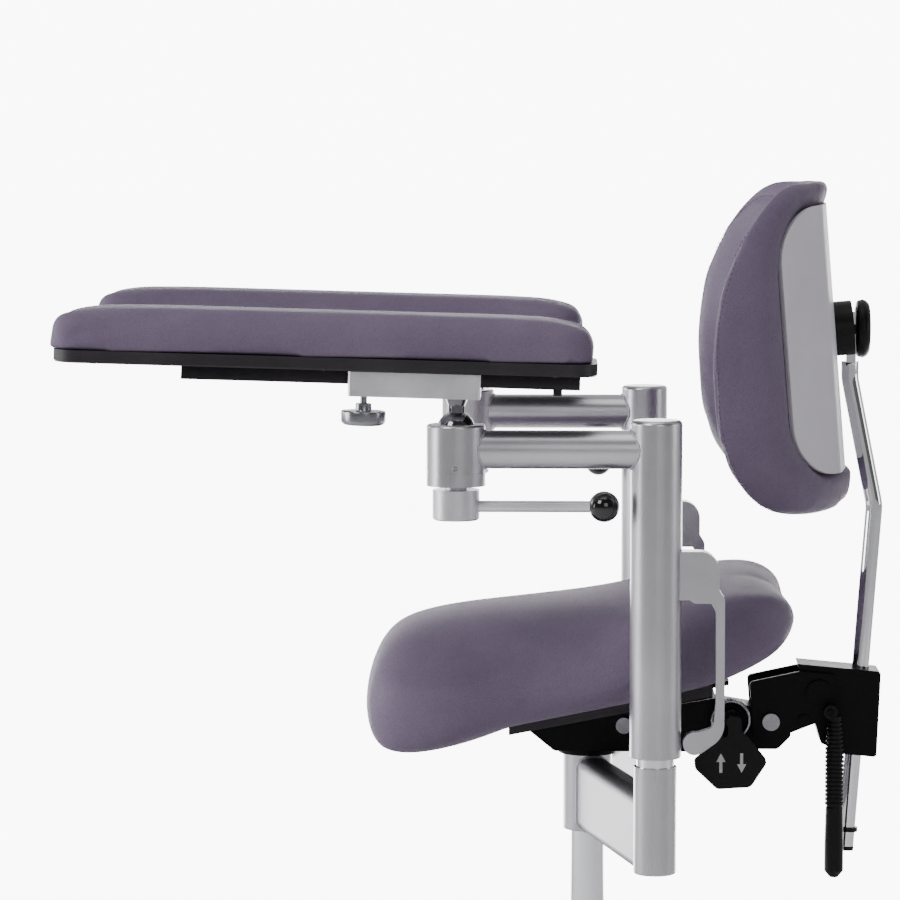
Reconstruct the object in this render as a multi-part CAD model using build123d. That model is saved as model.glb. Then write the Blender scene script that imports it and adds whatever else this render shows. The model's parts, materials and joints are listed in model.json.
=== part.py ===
"""Dentist stool with two height-adjustable arm rests, a tilting seat and a backrest.

Millimetres, +Z up. The sitter faces -Y, +X is the sitter's left, and the origin lies on
the floor under the axis of the gas column.
"""
from math import sqrt
import os

from build123d import *

os.makedirs("parts", exist_ok=True)

# Fits shared by every joint
RUNNING = 0.05            # radial clearance of a shaft in its bore
GAP = 0.3                 # gap between flat faces that move past each other

# Base, casters and gas column
LEG_COUNT = 5
BASE_RADIUS = 285.0       # column axis to caster stem
WHEEL_RADIUS = 30.0
WHEEL_WIDTH = 18.0
CASTER_TRAIL = 18.0
WEB_HALF = 4.0            # half thickness of the hood's web between the wheels
AXLE_RADIUS = 4.0
STEM_RADIUS = 5.5
HOOD_TOP = 66.5           # top of the caster hood's boss
LEG_LOW = 68.0            # underside of the caster bosses
LEG_BOSS_HEIGHT = 30.0
BASE_HUB_RADIUS = 38.0
BASE_HUB_HEIGHT = 58.0
GAS_TUBE_RADIUS = 25.0
GAS_TUBE_WALL = 1.5
GAS_TUBE_LOW = 64.0
GAS_TUBE_LENGTH = 198.0
GUIDE_LENGTH = 62.0
CYLINDER_RADIUS = 16.0
CYLINDER_WALL = 4.0
CYLINDER_LOW = 165.0
ROD_RADIUS = 5.0
ROD_TOP = 290.0
VALVE_RADIUS = 4.0

# Arm frame under the seat
ARM_HUB_RADIUS = 23.0
ARM_HUB_LOW = 354.0
ARM_HUB_HIGH = 426.0
COLUMN_X = 227.0          # half the distance between the two arm columns
COLUMN_Y = 57.0
BRACKET_HEIGHT = 70.0
BRACKET_WIDTH = 30.0
BRACKET_WALL = 3.0
BRACKET_CORNER = 11.0
SOCKET_LOW = 355.7
SOCKET_HIGH = 450.5
SOCKET_FLOOR = 4.0
POST_RADIUS = 16.5
SOCKET_RADIUS = POST_RADIUS + 2.25

# Arm: sleeve, support tube and ball housing
SLEEVE_RADIUS = POST_RADIUS + 6.0
SLEEVE_BORE = POST_RADIUS + 3.0
SLEEVE_LOW = 458.5
SLEEVE_HIGH = 754.0
SLEEVE_CAP = 5.0
GUIDE_RING = 42.0
ARM_TUBE_RADIUS = 16.8
ARM_TUBE_Z = 728.0
ARM_TUBE_WALL = 2.5
ARM_REACH = 174.2         # column axis to ball axis
HOUSING_LOW = 696.5
HOUSING_HIGH = 750.0
HOUSING_LIP = 1.5          # lip that keeps the cup in
HOUSING_GROOVE = 708.0    # height of the groove above the clamp ring
GROOVE_DEPTH = 0.8
LOCK_HUB_RADIUS = 20.5
LOCK_HUB_LOW = 666.5
LOCK_HUB_HIGH = 693.0
LOCK_NECK_RADIUS = 9.5
LOCK_ROD_RADIUS = 5.0
LOCK_ROD_Z = 678.2
LOCK_ROD_REACH = 120.0    # ball axis to the end of the lever rod
KNOB_RADIUS = 13.5
KNOB_REACH = 128.9        # ball axis to the centre of the ball knob

# Height clamp on the back of each sleeve
CLAMP_PIN_Y = SLEEVE_RADIUS + 20.6    # pin behind the column axis
CLAMP_PIN_Z = 612.4
CLAMP_PIN_RADIUS = 2.5
CLAMP_HEAD_RADIUS = 11.0
CLAMP_HEAD_HALF = 5.5
CLAMP_CHEEK = 4.0
CLAMP_REAR = SLEEVE_RADIUS + 32.5
CLAMP_LOW = 594.7
CLAMP_HIGH = 640.0
GRIP_OUTER = SLEEVE_RADIUS + 37.5     # back of the grip behind the column axis
GRIP_THICK = 7.6
GRIP_HALF = 5.5
TAIL_RADIUS = 10.0
TAIL_Y = SLEEVE_RADIUS + TAIL_RADIUS + 1.5
TAIL_Z = 471.0

# Arm pad on its slide, measured from the ball's centre in the pad's own tilted frame
BALL_Z = 745.0
BALL_RADIUS = 16.7
CUP_RADIUS = BALL_RADIUS + 4.3
CUP_DEPTH = sqrt(BALL_RADIUS**2 - LOCK_NECK_RADIUS**2) + GAP    # cup's foot below the ball's centre
HOUSING_RADIUS = CUP_RADIUS + 4.7
STUD_NECK_RADIUS = 7.3
BALL_PIN_RADIUS = 2.5     # cross pin on which the ball pitches in its cup
PAD_PITCH = 1.58          # degrees, front end up
BLOCK_LOW = 28.0
BLOCK_HIGH = 49.5
BLOCK_FRONT = -93.8
BLOCK_REAR = 20.6
RAIL_LOW = 38.2
RAIL_HALF_LOW = 15.0
RAIL_HALF_HIGH = RAIL_HALF_LOW - 3.0
BLOCK_HALF = RAIL_HALF_LOW + 8.0
BOARD_LOW = 50.3
BOARD_THICK = 11.0
BOARD_INBOARD = 31.0      # pad centre inboard of the ball axis
BOARD_CORNER = 26.0
PAD_LENGTH = 467.0
PAD_WIDTH = 122.0
PAD_THICK = 37.0
PAD_TOP_FILLET = 13.0
BOARD_LENGTH = PAD_LENGTH + 5.6
BOARD_WIDTH = PAD_WIDTH + 2.0
BOARD_REAR = 121.3
BOARD_FRONT = BOARD_REAR - BOARD_LENGTH
RAIL_REAR = BOARD_REAR - 14.7
RAIL_LENGTH = 0.732 * BOARD_LENGTH
RAIL_FRONT = RAIL_REAR - RAIL_LENGTH
RIGHT_PAD_FORWARD = 7.0   # the right pad is set this much further forward
STOP_Y = RAIL_REAR - 19.4
STOP_RADIUS = 4.0
LOCK_KNOB_Y = -81.0
LOCK_KNOB_RADIUS = 19.5
LOCK_KNOB_LOW = 1.8
LOCK_KNOB_HIGH = 14.4
LOCK_COLLAR_RADIUS = 7.0
LOCK_COLLAR_HIGH = 20.8
LOCK_SCREW_RADIUS = 3.0

# Tilt mechanism under the seat
HOUSING_HALF = 36.0
HOUSING_WALL = 3.0
HOUSING_BOTTOM = 432.0
HOUSING_FRONT = -57.0
HOUSING_REAR = 118.0
TONGUE_HALF = 20.0
TONGUE_REAR = 188.0
SOCKET_CONE_RADIUS = 27.0
SEAT_PIVOT_Y = 33.0
SEAT_PIVOT_Z = 457.0
SEAT_PIVOT_RADIUS = 5.0
EAR_THICK = 3.0
ARM_PIVOT_Y = 169.4
ARM_PIVOT_Z = 458.6
ARM_PIVOT_RADIUS = 5.0
LINK_THICK = 4.0
LINK_BOLT = (213.3, 486.0)    # (y, z) of the bolt through links and bracket
LINK_BOLT_RADIUS = 11.5
STOP_BOLT = (199.8, 460.0)
STOP_BOLT_RADIUS = 5.0
BOLT_HEAD = 3.0
PADDLE_Y = 131.0
PADDLE_Z = 464.0
PADDLE_SHAFT_RADIUS = 5.0
PADDLE_X = HOUSING_HALF + 22.0
PADDLE_THICK = 8.0
SPRING_RADIUS = 17.0
SPRING_WIRE = 1.5
SPRING_TURNS = 4

# Seat
SEAT_HALF = COLUMN_X - SLEEVE_RADIUS - 11.5
SEAT_FRONT = -200.0
SEAT_REAR = 196.0
SEAT_CORNER = 85.0
SEAT_SLOPE = 0.196        # rise of the seat's underside per unit of Y
SEAT_UNDER_Z = 488.8      # height of the underside at Y = 0
SEAT_BOARD_THICK = 10.0
SEAT_PLATE_THICK = 4.0
SEAT_BOARD_HALF = SEAT_HALF - 43.0
SEAT_PLATE_HALF = 75.0
BOARD_Y_RANGE = (-72.0, 110.0)
PLATE_Y_RANGE = (-62.0, 128.0)

# Backrest bar and its bracket
BAR_RADIUS = 8.0
BAR_FOOT = (240.8, 338.6)     # (y, z) of the bar's lower end
BAR_BEND = (265.0, 658.0)
BAR_KNEE = (241.5, 776.0)
BAR_TOP = 838.0
FLAT_THICK = 9.0
FLAT_WIDTH = 21.0
BRACKET_HALF = 21.0
LEVER_Y = 227.5
LEVER_Z = 470.0
LEVER_X = BRACKET_HALF + 17.0
LEVER_RADIUS = 8.75
LEVER_LENGTH = 150.0
RIB_PITCH = 3.9
STUB_RADIUS = 3.0

# Backrest
HINGE_Y = 241.5
HINGE_Z = 822.0
BACK_LEAN = 4.6           # degrees, top edge forward
SHELL_RADIUS = 260.0
SHELL_THICK = 5.0
SHELL_BACK = -14.5        # rear of the shell ahead of the hinge axis
SHELL_HALF = 168.0
SHELL_CORNER = 58.0
SHELL_LOW = -125.0
SHELL_HIGH = 120.0
BACK_HALF = 186.0
BACK_CORNER = 84.0
BACK_LOW = -160.0
BACK_HIGH = 141.0
BACK_THICK = 58.0
BACK_KNOB_RADIUS = 27.0
BACK_KNOB_DEPTH = 13.4
KNOB_STUD_RADIUS = 4.0
HINGE_PIN_RADIUS = 3.0
HINGE_PIN_START = 6.0     # the two hinge pins start this far from the middle


def cylinder_z(radius, low, high, x=0.0, y=0.0):
    """Upright cylinder between two heights."""
    return Pos(x, y, (low + high) / 2) * Cylinder(radius, high - low)


def cylinder_x(radius, low, high, y, z):
    """Cylinder along X between two X values."""
    return Pos((low + high) / 2, y, z) * Rot(0, 90, 0) * Cylinder(radius, high - low)


def cylinder_y(radius, low, high, x, z):
    """Cylinder along Y between two Y values."""
    return Pos(x, (low + high) / 2, z) * Rot(90, 0, 0) * Cylinder(radius, high - low)


def block(x_range, y_range, z_range):
    """Box between three pairs of limits."""
    size = [high - low for low, high in (x_range, y_range, z_range)]
    middle = [(high + low) / 2 for low, high in (x_range, y_range, z_range)]
    return Pos(*middle) * Box(*size)


def outline(points):
    """Flat face from corners (u, v, fillet radius)."""
    face = make_face(Polyline(*[(u, v) for u, v, _ in points], close=True))
    for u, v, radius in points:
        if radius:
            corner = face.vertices().sort_by_distance((u, v, 0))[0]
            face = fillet(corner, radius)
    return face


def side_solid(points, x_low, x_high):
    """Solid with a side-view outline of (y, z, fillet radius), from x_low to x_high."""
    face = Plane.YZ.offset(x_low) * outline(points)
    return extrude(face, amount=x_high - x_low, dir=(1, 0, 0))


def section_along_y(points, y_low, y_high):
    """Solid with a front-view outline of (x, z), from y_low to y_high."""
    ring = Polyline(*[(x, y_low, z) for x, z in points], close=True)
    return extrude(make_face(ring), amount=y_high - y_low, dir=(0, 1, 0))


def save(node, *solids):
    """Write one sub-part, which may be several separate solids."""
    shape = solids[0] if len(solids) == 1 else Compound(children=list(solids))
    export_step(shape, f"parts/{node}.step")


# Base, casters and gas column

def base_star():
    """Five-leg cast base with a hub for the gas tube and a socket at each leg's end."""
    hub_high = LEG_LOW + BASE_HUB_HEIGHT
    star = cylinder_z(BASE_HUB_RADIUS, LEG_LOW - 2, hub_high)
    star = fillet(star.edges().group_by(Axis.Z)[-1], 6)
    leg_low = LEG_LOW + 5
    root = Plane.YZ.offset(BASE_HUB_RADIUS - 12) * Pos(0, leg_low + 21) * Rectangle(46, 42)
    tip = Plane.YZ.offset(BASE_RADIUS) * Pos(0, leg_low + 11) * Rectangle(26, 22)
    leg = loft([root, tip], ruled=True)
    boss = cylinder_z(15, LEG_LOW, LEG_LOW + LEG_BOSS_HEIGHT, BASE_RADIUS)
    boss = fillet(boss.edges().group_by(Axis.Z)[-1], 4)
    socket = cylinder_z(STEM_RADIUS + RUNNING, LEG_LOW, LEG_LOW + 24, BASE_RADIUS)
    for angle in leg_angles():
        star += Rot(0, 0, angle) * (leg + boss)
    for angle in leg_angles():
        star -= Rot(0, 0, angle) * socket
    return star - cylinder_z(GAS_TUBE_RADIUS, 0, hub_high + 1)


def leg_angles():
    """Directions of the legs; the first points to the front."""
    return [-90 + index * 360 / LEG_COUNT for index in range(LEG_COUNT)]


def caster_hood():
    """Hood, web and stem of one caster, with its stem axis at the origin."""
    inner = WHEEL_RADIUS + 1.5
    outer = WHEEL_RADIUS + 4
    half = WEB_HALF + 1 + WHEEL_WIDTH + 1
    disc = cylinder_y(outer, -half, half, CASTER_TRAIL, WHEEL_RADIUS)
    hollow = cylinder_y(inner, -half - 1, half + 1, CASTER_TRAIL, WHEEL_RADIUS)
    web = cylinder_y(inner + 1, -WEB_HALF, WEB_HALF, CASTER_TRAIL, WHEEL_RADIUS)
    above = block((-60, 80), (-60, 60), (WHEEL_RADIUS + 2, 120))
    web_zone = block((-60, 80), (-60, 60), (WHEEL_RADIUS - 9, 120))
    boss = cylinder_z(11, WHEEL_RADIUS + 10, HOOD_TOP) - hollow
    hood = ((disc - hollow) & above) + (web & web_zone) + boss
    hood += cylinder_z(STEM_RADIUS, HOOD_TOP - 1, LEG_LOW + 22)
    bore = cylinder_y(AXLE_RADIUS + RUNNING, -WEB_HALF - 1, WEB_HALF + 1, CASTER_TRAIL, WHEEL_RADIUS)
    return hood - bore


def caster_wheels():
    """Twin wheels on their axle."""
    low = WEB_HALF + 1
    pair = cylinder_y(AXLE_RADIUS, -low - 2, low + 2, CASTER_TRAIL, WHEEL_RADIUS)
    for start in (low, -low - WHEEL_WIDTH):
        wheel = cylinder_y(WHEEL_RADIUS, start, start + WHEEL_WIDTH, CASTER_TRAIL, WHEEL_RADIUS)
        pair += fillet(wheel.edges().filter_by(GeomType.CIRCLE), 3.5)
    return pair


def gas_tube():
    """Outer tube of the gas column, with the plate that carries the piston rod."""
    high = GAS_TUBE_LOW + GAS_TUBE_LENGTH
    tube = cylinder_z(GAS_TUBE_RADIUS, GAS_TUBE_LOW, high)
    tube -= cylinder_z(GAS_TUBE_RADIUS - GAS_TUBE_WALL, GAS_TUBE_LOW + 4, high + 1)
    return tube - cylinder_z(ROD_RADIUS + RUNNING, 0, high)


def tube_guide():
    """Plastic guide in the mouth of the gas tube."""
    high = GAS_TUBE_LOW + GAS_TUBE_LENGTH
    guide = cylinder_z(GAS_TUBE_RADIUS - GAS_TUBE_WALL, high - GUIDE_LENGTH, high)
    guide += cylinder_z(GAS_TUBE_RADIUS, high, high + 4)
    return guide - cylinder_z(CYLINDER_RADIUS + RUNNING, 0, high + 10)


def piston_rod():
    """Piston rod with its thrust bearing, clip and piston."""
    rod = cylinder_z(ROD_RADIUS, GAS_TUBE_LOW - 5, ROD_TOP)
    rod += cylinder_z(14, GAS_TUBE_LOW + 4 + RUNNING, GAS_TUBE_LOW + 10)
    rod += cylinder_z(8, GAS_TUBE_LOW - 3, GAS_TUBE_LOW - RUNNING)
    piston = CYLINDER_RADIUS - CYLINDER_WALL - RUNNING
    return rod + cylinder_z(piston, ROD_TOP - 14, ROD_TOP)


def gas_cylinder():
    """Chrome cylinder that slides on the piston rod and carries the seat."""
    high = cylinder_top()
    body = cylinder_z(CYLINDER_RADIUS, CYLINDER_LOW, high)
    body = fillet(body.edges().group_by(Axis.Z)[0], 1.5)
    body -= cylinder_z(CYLINDER_RADIUS - CYLINDER_WALL, CYLINDER_LOW + 18, high - 16)
    body -= cylinder_z(ROD_RADIUS + RUNNING, CYLINDER_LOW - 1, CYLINDER_LOW + 19)
    return body - cylinder_z(VALVE_RADIUS + RUNNING, high - 10, high + 1)


def cylinder_top():
    """Height of the gas cylinder's upper end, inside the cone socket."""
    return ARM_HUB_HIGH + 20


def valve_button():
    """Button in the cylinder's top that lets the seat move."""
    return cylinder_z(VALVE_RADIUS, cylinder_top() - 6, cylinder_top() + 6)


# Arm frame

def arm_hub():
    """Sleeve on the gas cylinder that carries both arm brackets."""
    hub = cylinder_z(ARM_HUB_RADIUS, ARM_HUB_LOW, ARM_HUB_HIGH)
    hub = fillet(hub.edges().group_by(Axis.Z)[0], 1.5)
    return hub - cylinder_z(CYLINDER_RADIUS, ARM_HUB_LOW - 1, ARM_HUB_HIGH + 1)


def arm_bracket():
    """Rounded rectangular tube from the hub to the left socket."""
    reach = sqrt(COLUMN_X**2 + COLUMN_Y**2)
    plane = Plane(origin=(0, 0, ARM_HUB_LOW + BRACKET_HEIGHT / 2),
                  x_dir=(-COLUMN_Y, COLUMN_X, 0), z_dir=(COLUMN_X, COLUMN_Y, 0))
    outer = RectangleRounded(BRACKET_WIDTH, BRACKET_HEIGHT, BRACKET_CORNER)
    inner = RectangleRounded(BRACKET_WIDTH - 2 * BRACKET_WALL, BRACKET_HEIGHT - 2 * BRACKET_WALL,
                             BRACKET_CORNER - BRACKET_WALL)
    tube = extrude(plane * (outer - inner), amount=reach)
    tube -= cylinder_z(ARM_HUB_RADIUS, ARM_HUB_LOW - 5, ARM_HUB_HIGH + 5)
    return tube - cylinder_z(SOCKET_RADIUS, SOCKET_LOW - 5, SOCKET_HIGH, COLUMN_X, COLUMN_Y)


def column_socket():
    """Socket tube for one arm post, closed at its foot."""
    tube = cylinder_z(SOCKET_RADIUS, SOCKET_LOW, SOCKET_HIGH, COLUMN_X, COLUMN_Y)
    tube = fillet(tube.edges().group_by(Axis.Z)[0], 2)
    bore = POST_RADIUS + RUNNING
    return tube - cylinder_z(bore, SOCKET_LOW + SOCKET_FLOOR, SOCKET_HIGH + 1, COLUMN_X, COLUMN_Y)


def arm_post():
    """Chrome post that stands in the socket and guides the sleeve."""
    top = SLEEVE_HIGH - SLEEVE_CAP - 14
    post = cylinder_z(POST_RADIUS, SOCKET_LOW + SOCKET_FLOOR + RUNNING, top, COLUMN_X, COLUMN_Y)
    return chamfer(post.edges().group_by(Axis.Z)[-1], 2)


def column_sleeve():
    """Sleeve of one arm column with the fork of its height clamp."""
    sleeve = cylinder_z(SLEEVE_RADIUS, SLEEVE_LOW, SLEEVE_HIGH, COLUMN_X, COLUMN_Y)
    sleeve = fillet(sleeve.edges().group_by(Axis.Z)[-1], 4)
    sleeve = fillet(sleeve.edges().group_by(Axis.Z)[0], 1)
    half = CLAMP_HEAD_HALF + GAP + CLAMP_CHEEK
    fork = side_solid([(COLUMN_Y, CLAMP_LOW + 3, 0), (COLUMN_Y, CLAMP_HIGH, 0),
                       (COLUMN_Y + CLAMP_REAR, CLAMP_HIGH, 17),
                       (COLUMN_Y + CLAMP_REAR, CLAMP_LOW, 8),
                       (COLUMN_Y + CLAMP_REAR - 22, CLAMP_LOW, 5),
                       (COLUMN_Y + CLAMP_REAR - 26, CLAMP_LOW + 3, 0)],
                      COLUMN_X - half, COLUMN_X + half)
    slot_half = CLAMP_HEAD_HALF + GAP
    slot_front = CLAMP_PIN_Y - CLAMP_HEAD_RADIUS - 1.5
    slot = block((COLUMN_X - slot_half, COLUMN_X + slot_half),
                 (COLUMN_Y + slot_front, COLUMN_Y + CLAMP_REAR + 1),
                 (CLAMP_LOW - 1, CLAMP_PIN_Z + CLAMP_HEAD_RADIUS + 2))
    pin_hole = cylinder_x(CLAMP_PIN_RADIUS + RUNNING, COLUMN_X - half - 1, COLUMN_X + half + 1,
                          COLUMN_Y + CLAMP_PIN_Y, CLAMP_PIN_Z)
    sleeve += fork - slot - pin_hole
    guide = POST_RADIUS + RUNNING
    sleeve -= cylinder_z(guide, SLEEVE_LOW - 1, SLEEVE_HIGH - SLEEVE_CAP, COLUMN_X, COLUMN_Y)
    for low, high in ((SLEEVE_LOW + GUIDE_RING, CLAMP_LOW - 5), (CLAMP_HIGH + 5, SLEEVE_HIGH - SLEEVE_CAP)):
        sleeve -= cylinder_z(SLEEVE_BORE, low, high, COLUMN_X, COLUMN_Y)
    return sleeve


def clamp_lever():
    """Cranked lever with its pin, hanging down the back of the sleeve."""
    back = COLUMN_Y + GRIP_OUTER
    front = back - GRIP_THICK
    pin_y = COLUMN_Y + CLAMP_PIN_Y
    tail_y = COLUMN_Y + TAIL_Y
    half = GRIP_HALF
    grip = side_solid([(pin_y - 1, CLAMP_PIN_Z - 8, 0), (pin_y + 5, CLAMP_PIN_Z + 5, 0),
                       (back, CLAMP_PIN_Z - 14, 9), (back, TAIL_Z + 6, 22),
                       (tail_y + 6, TAIL_Z - TAIL_RADIUS + 1.5, 0), (tail_y - 2, TAIL_Z + TAIL_RADIUS - 1.5, 0),
                       (front - 2, TAIL_Z + 14, 8), (front, TAIL_Z + 34, 20),
                       (front, CLAMP_PIN_Z - 26, 12)],
                      COLUMN_X - half, COLUMN_X + half)
    lever = grip + cylinder_x(CLAMP_HEAD_RADIUS, COLUMN_X - half, COLUMN_X + half, pin_y, CLAMP_PIN_Z)
    lever += cylinder_x(TAIL_RADIUS, COLUMN_X - half, COLUMN_X + half, tail_y, TAIL_Z)
    pin_half = CLAMP_HEAD_HALF + GAP + CLAMP_CHEEK
    return lever + cylinder_x(CLAMP_PIN_RADIUS, COLUMN_X - pin_half, COLUMN_X + pin_half,
                              pin_y, CLAMP_PIN_Z)


def ball_y():
    """Y of the ball joint's axis."""
    return COLUMN_Y - ARM_REACH


def support_arm():
    """Arm tube with the ball housing welded to its end."""
    y = ball_y()
    tube = cylinder_y(ARM_TUBE_RADIUS, y, COLUMN_Y, COLUMN_X, ARM_TUBE_Z)
    tube -= cylinder_y(ARM_TUBE_RADIUS - ARM_TUBE_WALL, y, COLUMN_Y, COLUMN_X, ARM_TUBE_Z)
    tube -= cylinder_z(SLEEVE_RADIUS, SLEEVE_LOW, SLEEVE_HIGH, COLUMN_X, COLUMN_Y)
    housing = cylinder_z(HOUSING_RADIUS, HOUSING_LOW, HOUSING_HIGH, COLUMN_X, y)
    housing = fillet(housing.edges().group_by(Axis.Z)[-1], 2.5)
    groove = cylinder_z(HOUSING_RADIUS + 1, HOUSING_GROOVE, HOUSING_GROOVE + 1, COLUMN_X, y)
    groove -= cylinder_z(HOUSING_RADIUS - GROOVE_DEPTH, HOUSING_GROOVE - 1, HOUSING_GROOVE + 2, COLUMN_X, y)
    arm = (tube - cylinder_z(HOUSING_RADIUS - 1, HOUSING_LOW, HOUSING_HIGH, COLUMN_X, y)) + housing - groove
    cup_low = BALL_Z - CUP_DEPTH - RUNNING
    arm -= cylinder_z(CUP_RADIUS + RUNNING, cup_low, HOUSING_HIGH - HOUSING_LIP + GAP / 3, COLUMN_X, y)
    arm -= cylinder_z(BALL_RADIUS + 0.1, cup_low, HOUSING_HIGH + 1, COLUMN_X, y)
    return arm - cylinder_z(LOCK_NECK_RADIUS + RUNNING, HOUSING_LOW - 1, cup_low + 1, COLUMN_X, y)


def ball_cup():
    """Cup that turns in the housing and holds the ball and its cross pin."""
    cup = cylinder_z(CUP_RADIUS, BALL_Z - CUP_DEPTH, HOUSING_HIGH - HOUSING_LIP, COLUMN_X, ball_y())
    cup -= Pos(COLUMN_X, ball_y(), BALL_Z) * Sphere(BALL_RADIUS + RUNNING)
    return cup - cylinder_x(BALL_PIN_RADIUS + RUNNING, COLUMN_X - CUP_RADIUS - 1, COLUMN_X + CUP_RADIUS + 1,
                            ball_y(), BALL_Z)


def ball_lock():
    """Hub, neck and rod of the lever that clamps the ball."""
    y = ball_y()
    hub = cylinder_z(LOCK_HUB_RADIUS, LOCK_HUB_LOW, LOCK_HUB_HIGH, COLUMN_X, y)
    hub = chamfer(hub.edges().group_by(Axis.Z)[0], 1.5)
    hub += cylinder_z(LOCK_NECK_RADIUS, LOCK_HUB_HIGH - 1, BALL_Z - BALL_RADIUS - GAP, COLUMN_X, y)
    return hub + cylinder_y(LOCK_ROD_RADIUS, y + 5, y + LOCK_ROD_REACH, COLUMN_X, LOCK_ROD_Z)


def ball_knob():
    """Ball knob on the end of the lever rod."""
    knob = Pos(COLUMN_X, ball_y() + KNOB_REACH, LOCK_ROD_Z) * Sphere(KNOB_RADIUS)
    return knob - cylinder_y(LOCK_ROD_RADIUS, ball_y(), ball_y() + LOCK_ROD_REACH, COLUMN_X, LOCK_ROD_Z)


# Arm pad and slide, in the pad's own frame with the ball's centre at the origin

def place_pad(shape):
    """Move a shape from the pad's frame to the left arm."""
    return Pos(COLUMN_X, ball_y(), BALL_Z) * Rot(-PAD_PITCH, 0, 0) * shape


def ball_stud():
    """Ball with its cross pin, neck and flared head under the slide block."""
    stud = Sphere(BALL_RADIUS) + cylinder_x(BALL_PIN_RADIUS, GAP - CUP_RADIUS, CUP_RADIUS - GAP, 0, 0)
    stud += cylinder_z(STUD_NECK_RADIUS, 0, BLOCK_LOW - 4)
    flare = Pos(0, 0, BLOCK_LOW - 3.5) * Cone(STUD_NECK_RADIUS, 10, 7)
    return place_pad(stud + flare)


def slide_block():
    """Machined block with a dovetail groove for the rail and a hole for the lock screw."""
    body = block((-BLOCK_HALF, BLOCK_HALF), (BLOCK_FRONT, BLOCK_REAR), (BLOCK_LOW, BLOCK_HIGH))
    body = chamfer(body.edges().filter_by(Axis.Z), 1.5)
    fit = 2 * RUNNING
    groove = section_along_y(
        [(-RAIL_HALF_LOW - fit, RAIL_LOW - fit), (RAIL_HALF_LOW + fit, RAIL_LOW - fit),
         (RAIL_HALF_HIGH + fit, BOARD_LOW), (-RAIL_HALF_HIGH - fit, BOARD_LOW)],
        BLOCK_FRONT - 1, BLOCK_REAR + 1)
    hole = cylinder_z(LOCK_SCREW_RADIUS + RUNNING, BLOCK_LOW - 1, RAIL_LOW, 0, LOCK_KNOB_Y)
    return place_pad(body - groove - hole)


def pad_rail(forward):
    """Dovetail rail under the board, with its end-stop screw."""
    rail = section_along_y(
        [(-RAIL_HALF_LOW, RAIL_LOW), (RAIL_HALF_LOW, RAIL_LOW),
         (RAIL_HALF_HIGH, BOARD_LOW), (-RAIL_HALF_HIGH, BOARD_LOW)],
        RAIL_FRONT - forward, RAIL_FRONT + RAIL_LENGTH - forward)
    return place_pad(rail + cylinder_z(STOP_RADIUS, RAIL_LOW - 6, RAIL_LOW + 1, 0, STOP_Y - forward))


def pad_board(forward):
    """Board under the pad."""
    plan = RectangleRounded(BOARD_WIDTH, BOARD_LENGTH, BOARD_CORNER)
    middle = BOARD_FRONT + BOARD_LENGTH / 2 - forward
    board = extrude(Pos(-BOARD_INBOARD, middle, BOARD_LOW) * plan, amount=BOARD_THICK)
    return place_pad(chamfer(board.edges().group_by(Axis.Z)[0], 1.5))


def arm_pad(forward):
    """Plain closed solid of the upholstered pad."""
    plan = RectangleRounded(PAD_WIDTH, PAD_LENGTH, BOARD_CORNER)
    middle = BOARD_FRONT + BOARD_LENGTH / 2 - forward
    top = BOARD_LOW + BOARD_THICK
    pad = extrude(Pos(-BOARD_INBOARD, middle, top) * plan, amount=PAD_THICK)
    pad = fillet(pad.edges().group_by(Axis.Z)[-1], PAD_TOP_FILLET)
    return place_pad(pad)


def lock_knob():
    """Hand screw that locks the slide."""
    head = cylinder_z(LOCK_KNOB_RADIUS, LOCK_KNOB_LOW, LOCK_KNOB_HIGH, 0, LOCK_KNOB_Y)
    head = fillet(head.edges().filter_by(GeomType.CIRCLE).group_by(Axis.Z)[0], 4)
    collar = cylinder_z(LOCK_COLLAR_RADIUS, LOCK_KNOB_HIGH - 1, LOCK_COLLAR_HIGH, 0, LOCK_KNOB_Y)
    screw = cylinder_z(LOCK_SCREW_RADIUS, LOCK_COLLAR_HIGH - 1, RAIL_LOW - GAP, 0, LOCK_KNOB_Y)
    return place_pad(head + collar + screw)


# Tilt mechanism

def seat_under(y):
    """Height of the seat's straight underside at a given Y."""
    return SEAT_UNDER_Z + SEAT_SLOPE * y


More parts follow.
